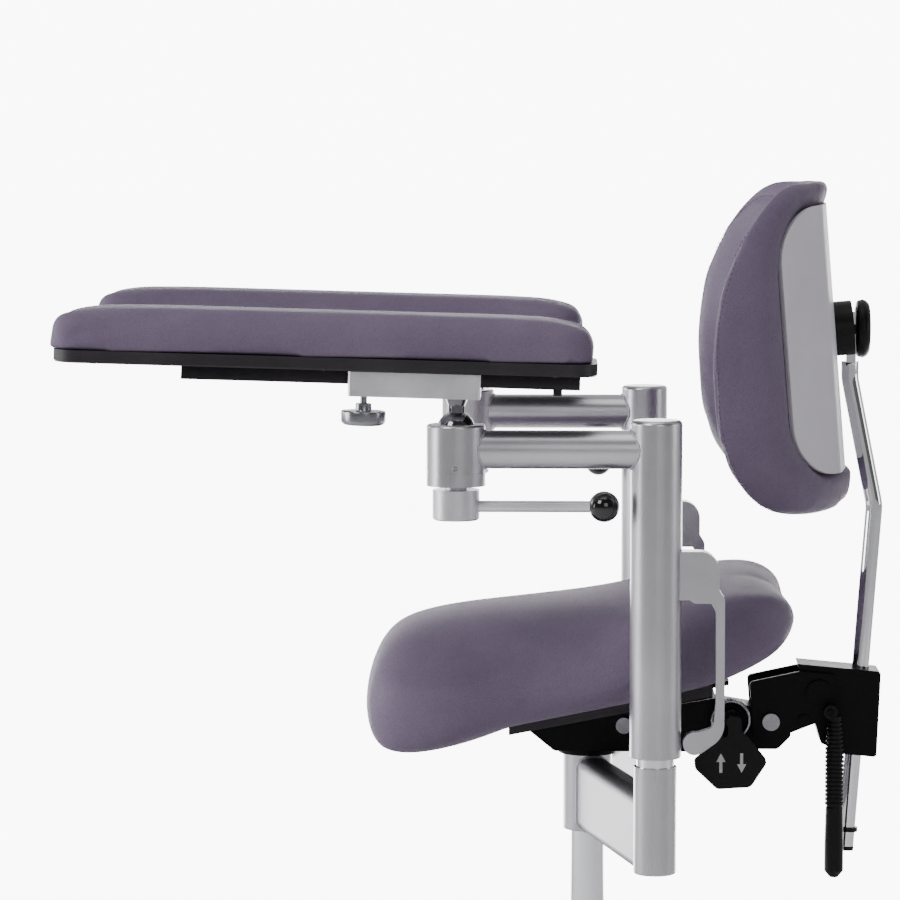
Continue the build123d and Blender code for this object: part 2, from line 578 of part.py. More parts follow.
def tilt_housing():
    """Pressed channel with a narrow tongue at its rear and a bush for the paddle shaft."""
    top_front = HOUSING_BOTTOM + 21
    top_rear = HOUSING_BOTTOM + 50
    profile = [(HOUSING_FRONT, top_front, 2), (HOUSING_FRONT + 26, HOUSING_BOTTOM, 6),
               (HOUSING_REAR, HOUSING_BOTTOM, 0), (HOUSING_REAR, top_rear, 0),
               (SEAT_PIVOT_Y + 15, top_rear - 12, 0)]
    shell = side_solid(profile, -HOUSING_HALF, HOUSING_HALF)
    inner_half = HOUSING_HALF - HOUSING_WALL
    hollow = side_solid([(HOUSING_FRONT + 5, top_front + 40, 0), (HOUSING_FRONT + 5, top_front - 1, 0),
                         (HOUSING_FRONT + 29, HOUSING_BOTTOM + HOUSING_WALL, 0),
                         (HOUSING_REAR - HOUSING_WALL, HOUSING_BOTTOM + HOUSING_WALL, 0),
                         (HOUSING_REAR - HOUSING_WALL, top_rear + 20, 0)],
                        -inner_half, inner_half)
    shell -= hollow
    tongue = side_solid([(HOUSING_REAR - 1, HOUSING_BOTTOM, 0), (TONGUE_REAR - 12, HOUSING_BOTTOM, 6),
                         (TONGUE_REAR, HOUSING_BOTTOM + 12, 4), (TONGUE_REAR, HOUSING_BOTTOM + 34, 6),
                         (HOUSING_REAR - 1, top_rear - 4, 0)], -TONGUE_HALF, TONGUE_HALF)
    bush = cylinder_x(9, HOUSING_HALF - 1, PADDLE_X - 4, PADDLE_Y, PADDLE_Z)
    bush_plate = side_solid([(HOUSING_REAR - 3, PADDLE_Z - 14, 0), (PADDLE_Y + 13, PADDLE_Z - 14, 5),
                             (PADDLE_Y + 13, PADDLE_Z + 14, 5), (HOUSING_REAR - 3, PADDLE_Z + 14, 0)],
                            TONGUE_HALF - 1, HOUSING_HALF)
    body = shell + tongue + bush_plate + bush
    body -= cylinder_x(PADDLE_SHAFT_RADIUS + RUNNING, TONGUE_HALF + 1, PADDLE_X, PADDLE_Y, PADDLE_Z)
    body -= cylinder_x(ARM_PIVOT_RADIUS, -HOUSING_HALF, HOUSING_HALF, ARM_PIVOT_Y, ARM_PIVOT_Z)
    body -= cylinder_x(SEAT_PIVOT_RADIUS, -60, 60, SEAT_PIVOT_Y, SEAT_PIVOT_Z)
    return body - cylinder_z(SOCKET_CONE_RADIUS, HOUSING_BOTTOM - 5, HOUSING_BOTTOM + 8)


def cone_socket():
    """Socket under the housing that grips the gas cylinder."""
    cone = cylinder_z(SOCKET_CONE_RADIUS, ARM_HUB_HIGH, ARM_HUB_HIGH + 22)
    return cone - cylinder_z(CYLINDER_RADIUS, ARM_HUB_HIGH - 1, ARM_HUB_HIGH + 30)


def pivot_pins():
    """Seat pivot bolt and back-arm pivot pin, both held by the housing."""
    ear_out = HOUSING_HALF + 2 * GAP + EAR_THICK
    bolt = cylinder_x(SEAT_PIVOT_RADIUS, -ear_out - 1, ear_out + 1, SEAT_PIVOT_Y, SEAT_PIVOT_Z)
    for side in (-1, 1):
        low, high = sorted((side * (ear_out + GAP), side * (ear_out + 4)))
        bolt += cylinder_x(7.5, low, high, SEAT_PIVOT_Y, SEAT_PIVOT_Z)
    link_out = BRACKET_HALF + LINK_THICK
    pin = cylinder_x(ARM_PIVOT_RADIUS, -link_out - 1, link_out + 1, ARM_PIVOT_Y, ARM_PIVOT_Z)
    for side in (-1, 1):
        low, high = sorted((side * (link_out + GAP), side * (link_out + 4.5)))
        pin += cylinder_x(8, low, high, ARM_PIVOT_Y, ARM_PIVOT_Z)
    return bolt, pin


def lever_spring():
    """Return spring coiled round the paddle shaft's bush."""
    pitch = (PADDLE_X - 6 - HOUSING_HALF - 2 * SPRING_WIRE) / SPRING_TURNS
    coil = Helix(pitch=pitch, height=pitch * SPRING_TURNS, radius=SPRING_RADIUS)
    wire = Plane(origin=coil @ 0, z_dir=coil % 0) * Circle(SPRING_WIRE)
    spring = sweep(wire, path=coil, is_frenet=True)
    return Pos(HOUSING_HALF + SPRING_WIRE + GAP, PADDLE_Y, PADDLE_Z) * Rot(0, 90, 0) * spring


def height_paddle():
    """Shaft, stem and six-sided paddle of the seat-height lever."""
    shaft = cylinder_x(PADDLE_SHAFT_RADIUS, TONGUE_HALF + 4, PADDLE_X + PADDLE_THICK, PADDLE_Y, PADDLE_Z)
    stem = side_solid([(PADDLE_Y - 2, PADDLE_Z + 6, 0), (PADDLE_Y + 9, PADDLE_Z + 4, 4),
                       (PADDLE_Y + 11, PADDLE_Z - 18, 0), (PADDLE_Y - 4, PADDLE_Z - 18, 0)],
                      PADDLE_X - 2, PADDLE_X + PADDLE_THICK)
    plate = side_solid([(PADDLE_Y - 34, PADDLE_Z - 35, 4), (PADDLE_Y - 33, PADDLE_Z - 43, 5),
                        (PADDLE_Y - 13, PADDLE_Z - 62, 7), (PADDLE_Y + 18, PADDLE_Z - 60, 7),
                        (PADDLE_Y + 33.5, PADDLE_Z - 36, 6), (PADDLE_Y + 13, PADDLE_Z - 11, 5),
                        (PADDLE_Y - 9, PADDLE_Z - 14, 5)],
                       PADDLE_X, PADDLE_X + PADDLE_THICK)
    return shaft + stem + plate


# Seat

def seat_slab(y_low, y_high, half, top_drop, thick):
    """Slab parallel to the seat's underside, its top lying top_drop below the cushion."""
    return side_solid([(y_low, seat_under(y_low) - top_drop, 0), (y_high, seat_under(y_high) - top_drop, 0),
                       (y_high, seat_under(y_high) - top_drop - thick, 0),
                       (y_low, seat_under(y_low) - top_drop - thick, 0)], -half, half)


def seat_plate():
    """Steel plate with two ears that turn on the seat pivot bolt."""
    plate = seat_slab(*PLATE_Y_RANGE, SEAT_PLATE_HALF, SEAT_BOARD_THICK, SEAT_PLATE_THICK)
    inner = HOUSING_HALF + GAP
    for low, high in ((inner, inner + EAR_THICK), (-inner - EAR_THICK, -inner)):
        front = SEAT_PIVOT_Y - 40
        rear = SEAT_PIVOT_Y + 26
        under = SEAT_BOARD_THICK + SEAT_PLATE_THICK - 1
        plate += side_solid([(front, seat_under(front) - under, 0), (rear, seat_under(rear) - under, 0),
                             (SEAT_PIVOT_Y + 12, SEAT_PIVOT_Z - 12, 8),
                             (SEAT_PIVOT_Y - 12, SEAT_PIVOT_Z - 12, 8)], low, high)
        plate -= cylinder_x(SEAT_PIVOT_RADIUS + RUNNING, low - 1, high + 1, SEAT_PIVOT_Y, SEAT_PIVOT_Z)
    return plate


def seat_board():
    """Board between the plate and the cushion."""
    return seat_slab(*BOARD_Y_RANGE, SEAT_BOARD_HALF, 0, SEAT_BOARD_THICK)


def seat_cushion():
    """Plain closed solid of the seat cushion, with its rounded waterfall front."""
    under_front, under_rear = BOARD_Y_RANGE[0], BOARD_Y_RANGE[1] + 2
    profile = side_solid([(under_front, seat_under(under_front), 0), (under_rear, seat_under(under_rear), 0),
                          (SEAT_REAR - 18, 538, 20), (SEAT_REAR, 572, 20), (SEAT_REAR - 18, 597, 16),
                          (120, 591, 60), (0, 574, 0), (SEAT_FRONT + 80, 562, 80),
                          (SEAT_FRONT + 24, 548, 34), (SEAT_FRONT, 506, 34), (SEAT_FRONT + 12, 450, 16),
                          (SEAT_FRONT + 70, 455, 50)], -SEAT_HALF, SEAT_HALF)
    plan = RectangleRounded(2 * SEAT_HALF, SEAT_REAR - SEAT_FRONT, SEAT_CORNER)
    return profile & extrude(Pos(0, (SEAT_REAR + SEAT_FRONT) / 2, 400) * plan, amount=250)


# Back arm, bar and its bracket

def link_plates():
    """Two link plates of the back arm, with their bolt heads and the lever's stub."""
    rear = LEVER_Y + 1
    profile = [(ARM_PIVOT_Y - 20, ARM_PIVOT_Z + 37, 4), (rear - 33, ARM_PIVOT_Z + 47, 0),
               (rear, ARM_PIVOT_Z + 44, 4), (rear + 1, LEVER_Z - 6, 4), (rear - 22, ARM_PIVOT_Z - 3, 0),
               (ARM_PIVOT_Y + 12, ARM_PIVOT_Z - 13, 0), (ARM_PIVOT_Y - 16, ARM_PIVOT_Z - 14, 4)]
    plates = []
    for low, high in ((BRACKET_HALF, BRACKET_HALF + LINK_THICK), (-BRACKET_HALF - LINK_THICK, -BRACKET_HALF)):
        plate = side_solid(profile, low, high)
        outer = high if high > 0 else low - BOLT_HEAD
        plate += cylinder_x(LINK_BOLT_RADIUS, outer, outer + BOLT_HEAD, *LINK_BOLT)
        plate += cylinder_x(STOP_BOLT_RADIUS, outer, outer + BOLT_HEAD, *STOP_BOLT)
        plate -= cylinder_x(ARM_PIVOT_RADIUS + RUNNING, low - 1, high + 1, ARM_PIVOT_Y, ARM_PIVOT_Z)
        plates.append(plate)
    stub = cylinder_x(STUB_RADIUS, BRACKET_HALF + 1, LEVER_X + LEVER_RADIUS, LEVER_Y - 4, LEVER_Z)
    plates[0] += stub
    return plates


def bar_bracket():
    """Box bracket whose bore guides the backrest bar."""
    corners = [(-59.5, 512, 0), (17.6, 505, 3), (20.2, 425, 3), (-9.6, 428, 2), (-32.3, 438, 2)]
    body = side_solid([(bar_y(z) + ahead, z, radius) for ahead, z, radius in corners],
                      -BRACKET_HALF, BRACKET_HALF)
    return body - bar_line(BAR_RADIUS + RUNNING, -1.0, 1.2)


def bar_y(z):
    """Y of the bar's lower straight at a given height."""
    return BAR_FOOT[0] + (z - BAR_FOOT[1]) * (BAR_BEND[0] - BAR_FOOT[0]) / (BAR_BEND[1] - BAR_FOOT[1])


def bar_line(radius, start, stop):
    """Cylinder along the bar's lower straight, between two shares of its length."""
    foot, bend = Vector(0, *BAR_FOOT), Vector(0, *BAR_BEND)
    run = bend - foot
    plane = Plane(origin=foot + run * start, z_dir=run)
    return extrude(plane * Circle(radius), amount=run.length * (stop - start))


def back_bar():
    """Bent round bar, pressed flat where it enters the backrest hinge."""
    foot, bend, knee = (Vector(0, *BAR_FOOT), Vector(0, *BAR_BEND), Vector(0, *BAR_KNEE))
    path = FilletPolyline(foot, bend, knee, Vector(0, BAR_KNEE[0], HINGE_Z - 22), radius=40)
    bar = sweep(Plane(origin=foot, z_dir=bend - foot) * Circle(BAR_RADIUS), path=path)
    flat = block((-FLAT_WIDTH / 2, FLAT_WIDTH / 2), (HINGE_Y - FLAT_THICK / 2, HINGE_Y + FLAT_THICK / 2),
                 (HINGE_Z - 34, BAR_TOP))
    flat = chamfer(flat.edges().group_by(Axis.Z)[0].filter_by(Axis.Y), 3)
    trim = block((-20, 20), (HINGE_Y + FLAT_THICK / 2, HINGE_Y + 20), (HINGE_Z - 30, BAR_TOP))
    trim += block((-20, 20), (HINGE_Y - 20, HINGE_Y - FLAT_THICK / 2), (HINGE_Z - 30, BAR_TOP))
    bar = bar + flat - trim
    bar -= cylinder_y(KNOB_STUD_RADIUS + RUNNING, HINGE_Y - 10, HINGE_Y + 10, 0, HINGE_Z)
    for low, high in ((HINGE_PIN_START, 20), (-20, -HINGE_PIN_START)):
        bar -= cylinder_x(HINGE_PIN_RADIUS + RUNNING, low, high, HINGE_Y, HINGE_Z)
    return bar


def bar_fittings():
    """Plug in the bar's lower end and the clip that stops it in the bracket."""
    foot, bend = Vector(0, *BAR_FOOT), Vector(0, *BAR_BEND)
    length = (bend - foot).length
    plug = bar_line(BAR_RADIUS, -4 / length, 0)
    clip = bar_line(BAR_RADIUS + 2.2, 14 / length, 18 / length) - bar_line(BAR_RADIUS, -0.1, 0.2)
    return plug, clip


def release_lever():
    """Ribbed lever that frees the back arm, hanging from its stub."""
    profile = [(0, 0), (LEVER_RADIUS - 2.5, 0)]
    ribs = int((LEVER_LENGTH * 0.56) / RIB_PITCH)
    for index in range(ribs):
        height = -2 - index * RIB_PITCH
        share = min(1.0, 0.72 + index * 0.04)
        profile += [(LEVER_RADIUS * share, height), (LEVER_RADIUS * share, height - RIB_PITCH * 0.5),
                    (LEVER_RADIUS * share - 1.4, height - RIB_PITCH * 0.55),
                    (LEVER_RADIUS * share - 1.4, height - RIB_PITCH * 0.95)]
    profile += [(LEVER_RADIUS - 0.8, -LEVER_LENGTH * 0.57), (LEVER_RADIUS, -LEVER_LENGTH * 0.8),
                (LEVER_RADIUS, -LEVER_LENGTH + 6), (LEVER_RADIUS - 5, -LEVER_LENGTH), (0, -LEVER_LENGTH)]
    face = make_face(Polyline(*[(x, 0, z) for x, z in profile], close=True))
    grip = Pos(LEVER_X, LEVER_Y, LEVER_Z - 4) * revolve(face, axis=Axis.Z)
    eye = cylinder_x(6.5, LEVER_X - 5, LEVER_X + 5, LEVER_Y - 4, LEVER_Z)
    return grip + eye - cylinder_x(STUB_RADIUS + RUNNING, LEVER_X - 12, LEVER_X + 12, LEVER_Y - 4, LEVER_Z)


# Backrest, in its own upright frame with the hinge axis at the origin

def place_back(shape):
    """Move a shape from the backrest's frame to the hinge."""
    return Pos(0, HINGE_Y, HINGE_Z) * Rot(BACK_LEAN, 0, 0) * shape


def back_outline(half, low, high, corner):
    """Prism of a rounded outline, seen from the front."""
    plane = Plane(origin=(0, 60, (low + high) / 2), x_dir=(1, 0, 0), z_dir=(0, -1, 0))
    return extrude(plane * RectangleRounded(2 * half, high - low, corner), amount=330)


def wall(radius, centre_y):
    """Tall upright cylinder that shapes a curved face."""
    return cylinder_z(radius, BACK_LOW - 20, BACK_HIGH + 20, 0, centre_y)


def back_shell():
    """Curved rear shell."""
    centre = SHELL_BACK - SHELL_RADIUS
    shell = wall(SHELL_RADIUS, centre) - wall(SHELL_RADIUS - SHELL_THICK, centre)
    return place_back(shell & back_outline(SHELL_HALF, SHELL_LOW, SHELL_HIGH, SHELL_CORNER))


def back_cushion():
    """Plain closed solid of the backrest cushion, curved to wrap the sitter."""
    centre = SHELL_BACK - SHELL_RADIUS
    body = wall(SHELL_RADIUS - SHELL_THICK, centre) & back_outline(BACK_HALF, BACK_LOW, BACK_HIGH, BACK_CORNER)
    return place_back(body - wall(SHELL_RADIUS + 2, centre - SHELL_THICK - BACK_THICK - 2))


def hinge_boss():
    """Round boss behind the shell, slotted for the bar's flat end and carrying two hinge pins."""
    boss = cylinder_y(BACK_KNOB_RADIUS - 1, SHELL_BACK - 3, 2, 0, 0)
    slot_half = FLAT_WIDTH / 2 + GAP
    for side in (-1, 1):
        ends = sorted((side * (slot_half - 1), side * (slot_half + 6)))
        boss += cylinder_x(HINGE_PIN_RADIUS + 2.5, *ends, 0, 0)
    boss -= block((-slot_half, slot_half), (-40, 40), (-40, BAR_TOP - HINGE_Z + 4))
    for side in (-1, 1):
        ends = sorted((side * (HINGE_PIN_START + RUNNING), side * (slot_half + 2)))
        boss += cylinder_x(HINGE_PIN_RADIUS, *ends, 0, 0)
    boss = place_back(boss)
    shell_zone = place_back(wall(SHELL_RADIUS, SHELL_BACK - SHELL_RADIUS))
    return boss - shell_zone


def back_knob():
    """Hand knob that locks the backrest hinge."""
    front = HINGE_Y + FLAT_THICK / 2 + 2.0
    rear = front + BACK_KNOB_DEPTH
    knob = cylinder_y(BACK_KNOB_RADIUS, front, rear, 0, HINGE_Z)
    knob = fillet(knob.edges().filter_by(GeomType.CIRCLE).group_by(Axis.Y)[-1], 6)
    knob -= cylinder_y(6, rear - 1.5, rear + 1, 0, HINGE_Z)
    return knob + cylinder_y(KNOB_STUD_RADIUS, HINGE_Y - FLAT_THICK / 2 + 0.5, front + 1, 0, HINGE_Z)


# Write every sub-part

save("base_star", base_star())
save("gas_tube", gas_tube(), tube_guide())
save("piston_rod", piston_rod())
save("gas_cylinder", gas_cylinder())
save("valve_button", valve_button())
for number, angle in enumerate(leg_angles(), start=1):
    seat_of_stem = Rot(0, 0, angle) * Pos(BASE_RADIUS, 0, 0)
    save(f"caster_hood_{number}", seat_of_stem * caster_hood())
    save(f"caster_wheels_{number}", seat_of_stem * caster_wheels())

save("arm_hub", arm_hub())
save("arm_brackets", arm_bracket(), mirror(arm_bracket(), about=Plane.YZ))
save("column_sockets", column_socket(), mirror(column_socket(), about=Plane.YZ))
save("tilt_housing", tilt_housing(), cone_socket())
save("pivot_pins", *pivot_pins())
save("lever_spring", lever_spring())
save("height_paddle", height_paddle())
save("seat_plate", seat_plate())
save("seat_board", seat_board())
save("seat_cushion", seat_cushion())
save("link_plates", *link_plates())
save("bar_bracket", bar_bracket())
save("release_lever", release_lever())
save("back_bar", back_bar())
save("bar_fittings", *bar_fittings())
save("back_cushion", back_cushion())
save("back_shell", back_shell())
save("hinge_boss", hinge_boss())
save("back_knob", back_knob())

for side, forward in (("left", 0.0), ("right", RIGHT_PAD_FORWARD)):
    pieces = {
        "arm_post": arm_post(), "column_sleeve": column_sleeve(), "clamp_lever": clamp_lever(),
        "support_arm": support_arm(), "ball_cup": ball_cup(), "ball_lock": ball_lock(),
        "ball_knob": ball_knob(), "ball_stud": ball_stud(), "slide_block": slide_block(),
        "lock_knob": lock_knob(), "pad_rail": pad_rail(forward), "pad_board": pad_board(forward),
        "arm_pad": arm_pad(forward),
    }
    for name, shape in pieces.items():
        placed = shape if side == "left" else mirror(shape, about=Plane.YZ)
        save(f"{name}_{side}", placed)
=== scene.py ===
# %% [markdown]
# # A dentist's stool with two arm rests
# The metal frame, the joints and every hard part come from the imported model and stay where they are.
# This lesson dresses them: it gives each surface its finish, sews and stuffs the cushions,
# adds the small things that a workshop adds (weld beads, screws, stitches), and sets up a soft studio.

# %% Load the frame
import json
import math

import bmesh
import bpy
import numpy as np
from mathutils import Matrix, Vector
from mathutils.bvhtree import BVHTree


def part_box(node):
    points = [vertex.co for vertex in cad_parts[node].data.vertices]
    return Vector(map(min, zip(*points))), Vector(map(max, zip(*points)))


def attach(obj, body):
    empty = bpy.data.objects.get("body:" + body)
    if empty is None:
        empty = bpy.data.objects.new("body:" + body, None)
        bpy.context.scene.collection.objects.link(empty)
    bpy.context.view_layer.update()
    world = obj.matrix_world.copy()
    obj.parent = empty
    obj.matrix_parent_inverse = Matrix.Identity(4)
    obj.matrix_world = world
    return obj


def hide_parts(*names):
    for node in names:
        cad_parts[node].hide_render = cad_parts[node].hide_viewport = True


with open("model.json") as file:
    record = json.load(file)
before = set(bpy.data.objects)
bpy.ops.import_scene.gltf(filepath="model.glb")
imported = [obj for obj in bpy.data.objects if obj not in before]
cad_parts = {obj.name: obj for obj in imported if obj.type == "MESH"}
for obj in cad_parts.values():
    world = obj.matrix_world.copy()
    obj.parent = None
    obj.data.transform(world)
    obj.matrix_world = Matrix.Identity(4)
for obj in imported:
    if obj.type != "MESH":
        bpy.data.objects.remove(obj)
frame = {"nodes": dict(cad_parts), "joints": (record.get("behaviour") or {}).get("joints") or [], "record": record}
nodes = frame["nodes"]
joints = {joint["name"]: joint for joint in frame["joints"]}
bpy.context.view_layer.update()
scene = bpy.context.scene

# %% [markdown]
# ## The studio
# A stool like this is shown against white, with big soft lights. Metal tubes look like metal
# because of what they mirror: a bright wall at the far side, a softbox and a dimmer room elsewhere.
# A world whose brightness depends on direction gives that without any extra objects. The floor is
# one large pale sheet with a painted glow where it runs back towards the wall, and five area lamps stand around.

# %% Camera
camera_data = bpy.data.cameras.new("studio_camera")
camera_data.lens = 151.92
camera_data.sensor_width = 36.0
camera_data.clip_end = 100.0
camera = bpy.data.objects.new("studio_camera", camera_data)
scene.collection.objects.link(camera)
to_the_right = Vector((-0.02780136, 0.99961347, 0.0))
upwards = Vector((-0.08340408, -0.00231964, 0.99651311))
ahead = Vector((-0.99612793, -0.02770442, -0.08343633))
turn = Matrix((to_the_right, upwards, -ahead)).transposed().to_4x4()
camera.matrix_world = Matrix.Translation((3.5170, -0.0309, 1.00293)) @ turn
scene.camera = camera
print("camera at", [round(c, 3) for c in camera.location])


# %% Node helpers
def add_node(tree, kind, settings=None, **inputs):
    """Add a shader node, set its own settings, and set or link its inputs by name or number."""
    node = tree.nodes.new(kind)
    for key, value in (settings or {}).items():
        setattr(node, key, value)
    for key, value in inputs.items():
        numbered = key[0] == "i" and key[1:].isdigit()
        socket = node.inputs[int(key[1:]) if numbered else key.replace("_", " ")]
        if isinstance(value, bpy.types.NodeSocket):
            tree.links.new(value, socket)
        else:
            socket.default_value = value
    return node


def calculate(tree, operation, *values):
    """The outcome of one arithmetic step on one to three values."""
    numbered = {f"i{number}": value for number, value in enumerate(values)}
    return add_node(tree, "ShaderNodeMath", {"operation": operation}, **numbered).outputs[0]


def ease(tree, value, start, end, low, high):
    """A number that eases from low to high while the value goes from start to end."""
    return add_node(tree, "ShaderNodeMapRange", {"interpolation_type": "SMOOTHSTEP"}, Value=value,
                    From_Min=start, From_Max=end, To_Min=low, To_Max=high).outputs[0]


def two_tones(tree, value, start, dark, end, light):
    """A colour that goes from the dark tone to the light one."""
    ramp = add_node(tree, "ShaderNodeValToRGB", Fac=value)
    first, last = ramp.color_ramp.elements
    first.position, first.color = start, dark
    last.position, last.color = end, light
    return ramp.outputs[0]


def new_material(name):
    """A material with its node tree and its shader."""
    material = bpy.data.materials.new(name)
    material.use_nodes = True
    return material, material.node_tree, material.node_tree.nodes["Principled BSDF"]


def colour(red, green, blue):
    """A colour given as the eye sees it (0 to 255), turned into the linear numbers that shaders use."""
    linear = [((c / 255 + 0.055) / 1.055) ** 2.4 if c > 10 else c / 255 / 12.92 for c in (red, green, blue)]
    return (*linear, 1.0)


# %% World, floor and lamps
BACKDROP = 9.0            # brightness of the lit white wall far behind the stool
SOFTBOX = 4.2             # brightness of the softbox that the tubes mirror

world = bpy.data.worlds.new("soft_studio")
scene.world = world
world.use_nodes = True
sky = world.node_tree
sky.nodes.clear()
towards = add_node(sky, "ShaderNodeTexCoord").outputs["Generated"]
along_x = add_node(sky, "ShaderNodeSeparateXYZ", Vector=towards).outputs["X"]


def glow_around(direction, outer, inner, brightness):
    """A bright disc in the sky round a direction, its edge fading between two angles in degrees."""
    closeness = add_node(sky, "ShaderNodeVectorMath", {"operation": "DOT_PRODUCT"}, i0=towards,
                         i1=direction).outputs["Value"]
    return ease(sky, closeness, math.cos(math.radians(outer)), math.cos(math.radians(inner)), 0.0, brightness)


dimming = ease(sky, along_x, -0.7, 0.5, 0.8, 0.13)
lit_wall = glow_around((-0.995, 0.0, -0.09), 22, 11.5, BACKDROP)
softbox = glow_around((-0.45, -0.89, 0.05), 30, 12, SOFTBOX)
strength = calculate(sky, "ADD", dimming, calculate(sky, "ADD", softbox, lit_wall))
glow = add_node(sky, "ShaderNodeBackground", Color=(1.0, 1.0, 1.0, 1.0), Strength=strength)
add_node(sky, "ShaderNodeOutputWorld", Surface=glow.outputs[0])

floor_mesh = bpy.data.meshes.new("floor_sheet")
floor_mesh.from_pydata([(-60, -60, 0), (60, -60, 0), (60, 60, 0), (-60, 60, 0)], [], [(0, 1, 2, 3)])
floor_sheet = bpy.data.objects.new("floor_sheet", floor_mesh)
scene.collection.objects.link(floor_sheet)
floor_paint, floor_tree, floor_shader = new_material("pale_floor")
floor_shader.inputs["Base Color"].default_value = (0.93, 0.93, 0.93, 1)
floor_shader.inputs["Roughness"].default_value = 0.9
# Painted light: behind the stool the floor glows, rising towards the wall and fading to each side, in place of lamps
# lighting it.
floor_spot = add_node(floor_tree, "ShaderNodeTexCoord").outputs["Object"]
floor_place = add_node(floor_tree, "ShaderNodeSeparateXYZ", Vector=floor_spot).outputs
painted_backdrop_glow = ease(floor_tree, floor_place["X"], -0.9, -1.45, 0.0, BACKDROP)
aside = calculate(floor_tree, "ABSOLUTE", floor_place["Y"])
spread = calculate(floor_tree, "MULTIPLY_ADD", floor_place["X"], 0.45, aside)
within = ease(floor_tree, spread, 1.1, 0.5, 0.0, 1.0)
floor_tree.links.new(calculate(floor_tree, "MULTIPLY", painted_backdrop_glow, within), floor_shader.inputs["Emission Strength"])
floor_shader.inputs["Emission Color"].default_value = (1, 1, 1, 1)
floor_mesh.materials.append(floor_paint)


def soft_lamp(name, place, aim, size, power):
    """A square area lamp at a place, turned towards a point."""
    data = bpy.data.lights.new(name, "AREA")
    data.shape, data.size, data.energy = "SQUARE", size, power
    lamp = bpy.data.objects.new(name, data)
    lamp.location = place
    lamp.rotation_euler = (Vector(aim) - Vector(place)).to_track_quat("-Z", "Y").to_euler()
    scene.collection.objects.link(lamp)
    return lamp


soft_lamp("ceiling_lamp", (0.5, -0.1, 2.8), (0, 0, 0.6), 1.5, 12)
soft_lamp("key_lamp", (1.9, -1.6, 2.5), (0, 0, 0.6), 1.2, 36)
soft_lamp("side_lamp", (3.6, 0.9, 1.9), (0, 0, 0.6), 1.6, 18)
soft_lamp("front_lamp", (0.35, -3.2, 1.0), (0.2, 0, 0.6), 1.1, 34)
soft_lamp("rear_lamp", (0.35, 3.2, 1.0), (0.2, 0, 0.6), 0.8, 9)

# %% [markdown]
# ## Finishes
# Each finish is a small tree of nodes: a pattern on Object coordinates, which stay with the piece
# when it moves, drives colour, roughness and a fine relief. A real painted or plated surface is
# never one flat value, so even the plainest gets a soft cloud of change at the scale of a hand.


# %% A finish from a pattern
def finish(name, dark, light, rough, metallic=0.0, cloud=9.0, grain=900.0, relief=0.04,
           stretch=(1, 1, 1), coat=0.0, specular=0.5, depth=0.0004):
    """A material whose colour drifts between two tones, with a fine grain in its gloss and relief."""
    material, tree, shader = new_material(name)
    place = add_node(tree, "ShaderNodeTexCoord").outputs["Object"]
    laid = add_node(tree, "ShaderNodeMapping", Vector=place, Scale=stretch).outputs[0]
    drift = add_node(tree, "ShaderNodeTexNoise", Vector=place, Scale=cloud, Detail=4.0, Roughness=0.6).outputs[0]
    fine = add_node(tree, "ShaderNodeTexNoise", Vector=laid, Scale=grain, Detail=3.0, Roughness=0.55).outputs[0]
    both = calculate(tree, "MULTIPLY_ADD", fine, 0.35, drift)
    tree.links.new(two_tones(tree, both, 0.45, dark, 0.9, light), shader.inputs["Base Color"])
    gloss = add_node(tree, "ShaderNodeMapRange", Value=both, From_Min=0.35, From_Max=0.95,
                     To_Min=rough[0], To_Max=rough[1]).outputs[0]
    tree.links.new(gloss, shader.inputs["Roughness"])
    bump = add_node(tree, "ShaderNodeBump", Strength=relief, Distance=depth, Height=fine).outputs[0]
    tree.links.new(bump, shader.inputs["Normal"])
    shader.inputs["Metallic"].default_value = metallic
    shader.inputs["Coat Weight"].default_value = coat
    shader.inputs["Specular IOR Level"].default_value = specular
    return material


# %% [markdown]
# ### Upholstery
# The covers are a coated fabric with a leather print: small rounded pebbles with shallow valleys
# between them, a few millimetres wide at most. Voronoi cells give the pebbles, two noises break
# them up, and the valleys are a little darker and duller than the crowns.

# %% The cover's leather grain
def leather(name, valley, crown):
    """Coated cover with a fine pebble print."""
    material, tree, shader = new_material(name)
    place = add_node(tree, "ShaderNodeTexCoord").outputs["Object"]
    wander = add_node(tree, "ShaderNodeTexNoise", Vector=place, Scale=160.0, Detail=2.0).outputs["Color"]
    bent = add_node(tree, "ShaderNodeMix", {"data_type": "VECTOR"}, i0=0.004, i4=place, i5=wander).outputs[1]
    pebbles = add_node(tree, "ShaderNodeTexVoronoi", {"feature": "DISTANCE_TO_EDGE"}, Vector=bent,
                       Scale=620.0).outputs["Distance"]
    crowned = ease(tree, pebbles, 0.0, 0.22, 0.0, 1.0)
    pores = add_node(tree, "ShaderNodeTexNoise", Vector=place, Scale=1500.0, Detail=2.0).outputs[0]
    height = calculate(tree, "MULTIPLY_ADD", pores, 0.3, crowned)
    drift = add_node(tree, "ShaderNodeTexNoise", Vector=place, Scale=7.0, Detail=5.0, Roughness=0.6).outputs[0]
    tone = two_tones(tree, drift, 0.3, valley, 0.7, crown)
    shade = add_node(tree, "ShaderNodeMapRange", Value=crowned, To_Min=0.86, To_Max=1.0).outputs[0]
    tinted = add_node(tree, "ShaderNodeMix", {"data_type": "RGBA", "blend_type": "MULTIPLY"}, i0=1.0,
                      i6=tone, i7=shade).outputs[2]
    tree.links.new(tinted, shader.inputs["Base Color"])
    gloss = add_node(tree, "ShaderNodeMapRange", Value=height, From_Min=0.1, From_Max=1.2,
                     To_Min=0.66, To_Max=0.5).outputs[0]
    tree.links.new(gloss, shader.inputs["Roughness"])
    bump = add_node(tree, "ShaderNodeBump", Strength=0.16, Distance=0.0003, Height=height).outputs[0]
    tree.links.new(bump, shader.inputs["Normal"])
    shader.inputs["Specular IOR Level"].default_value = 0.16
    return material


cover = leather("mauve_cover", colour(100, 88, 110), colour(114, 101, 123))
print("cover ready:", cover.name)

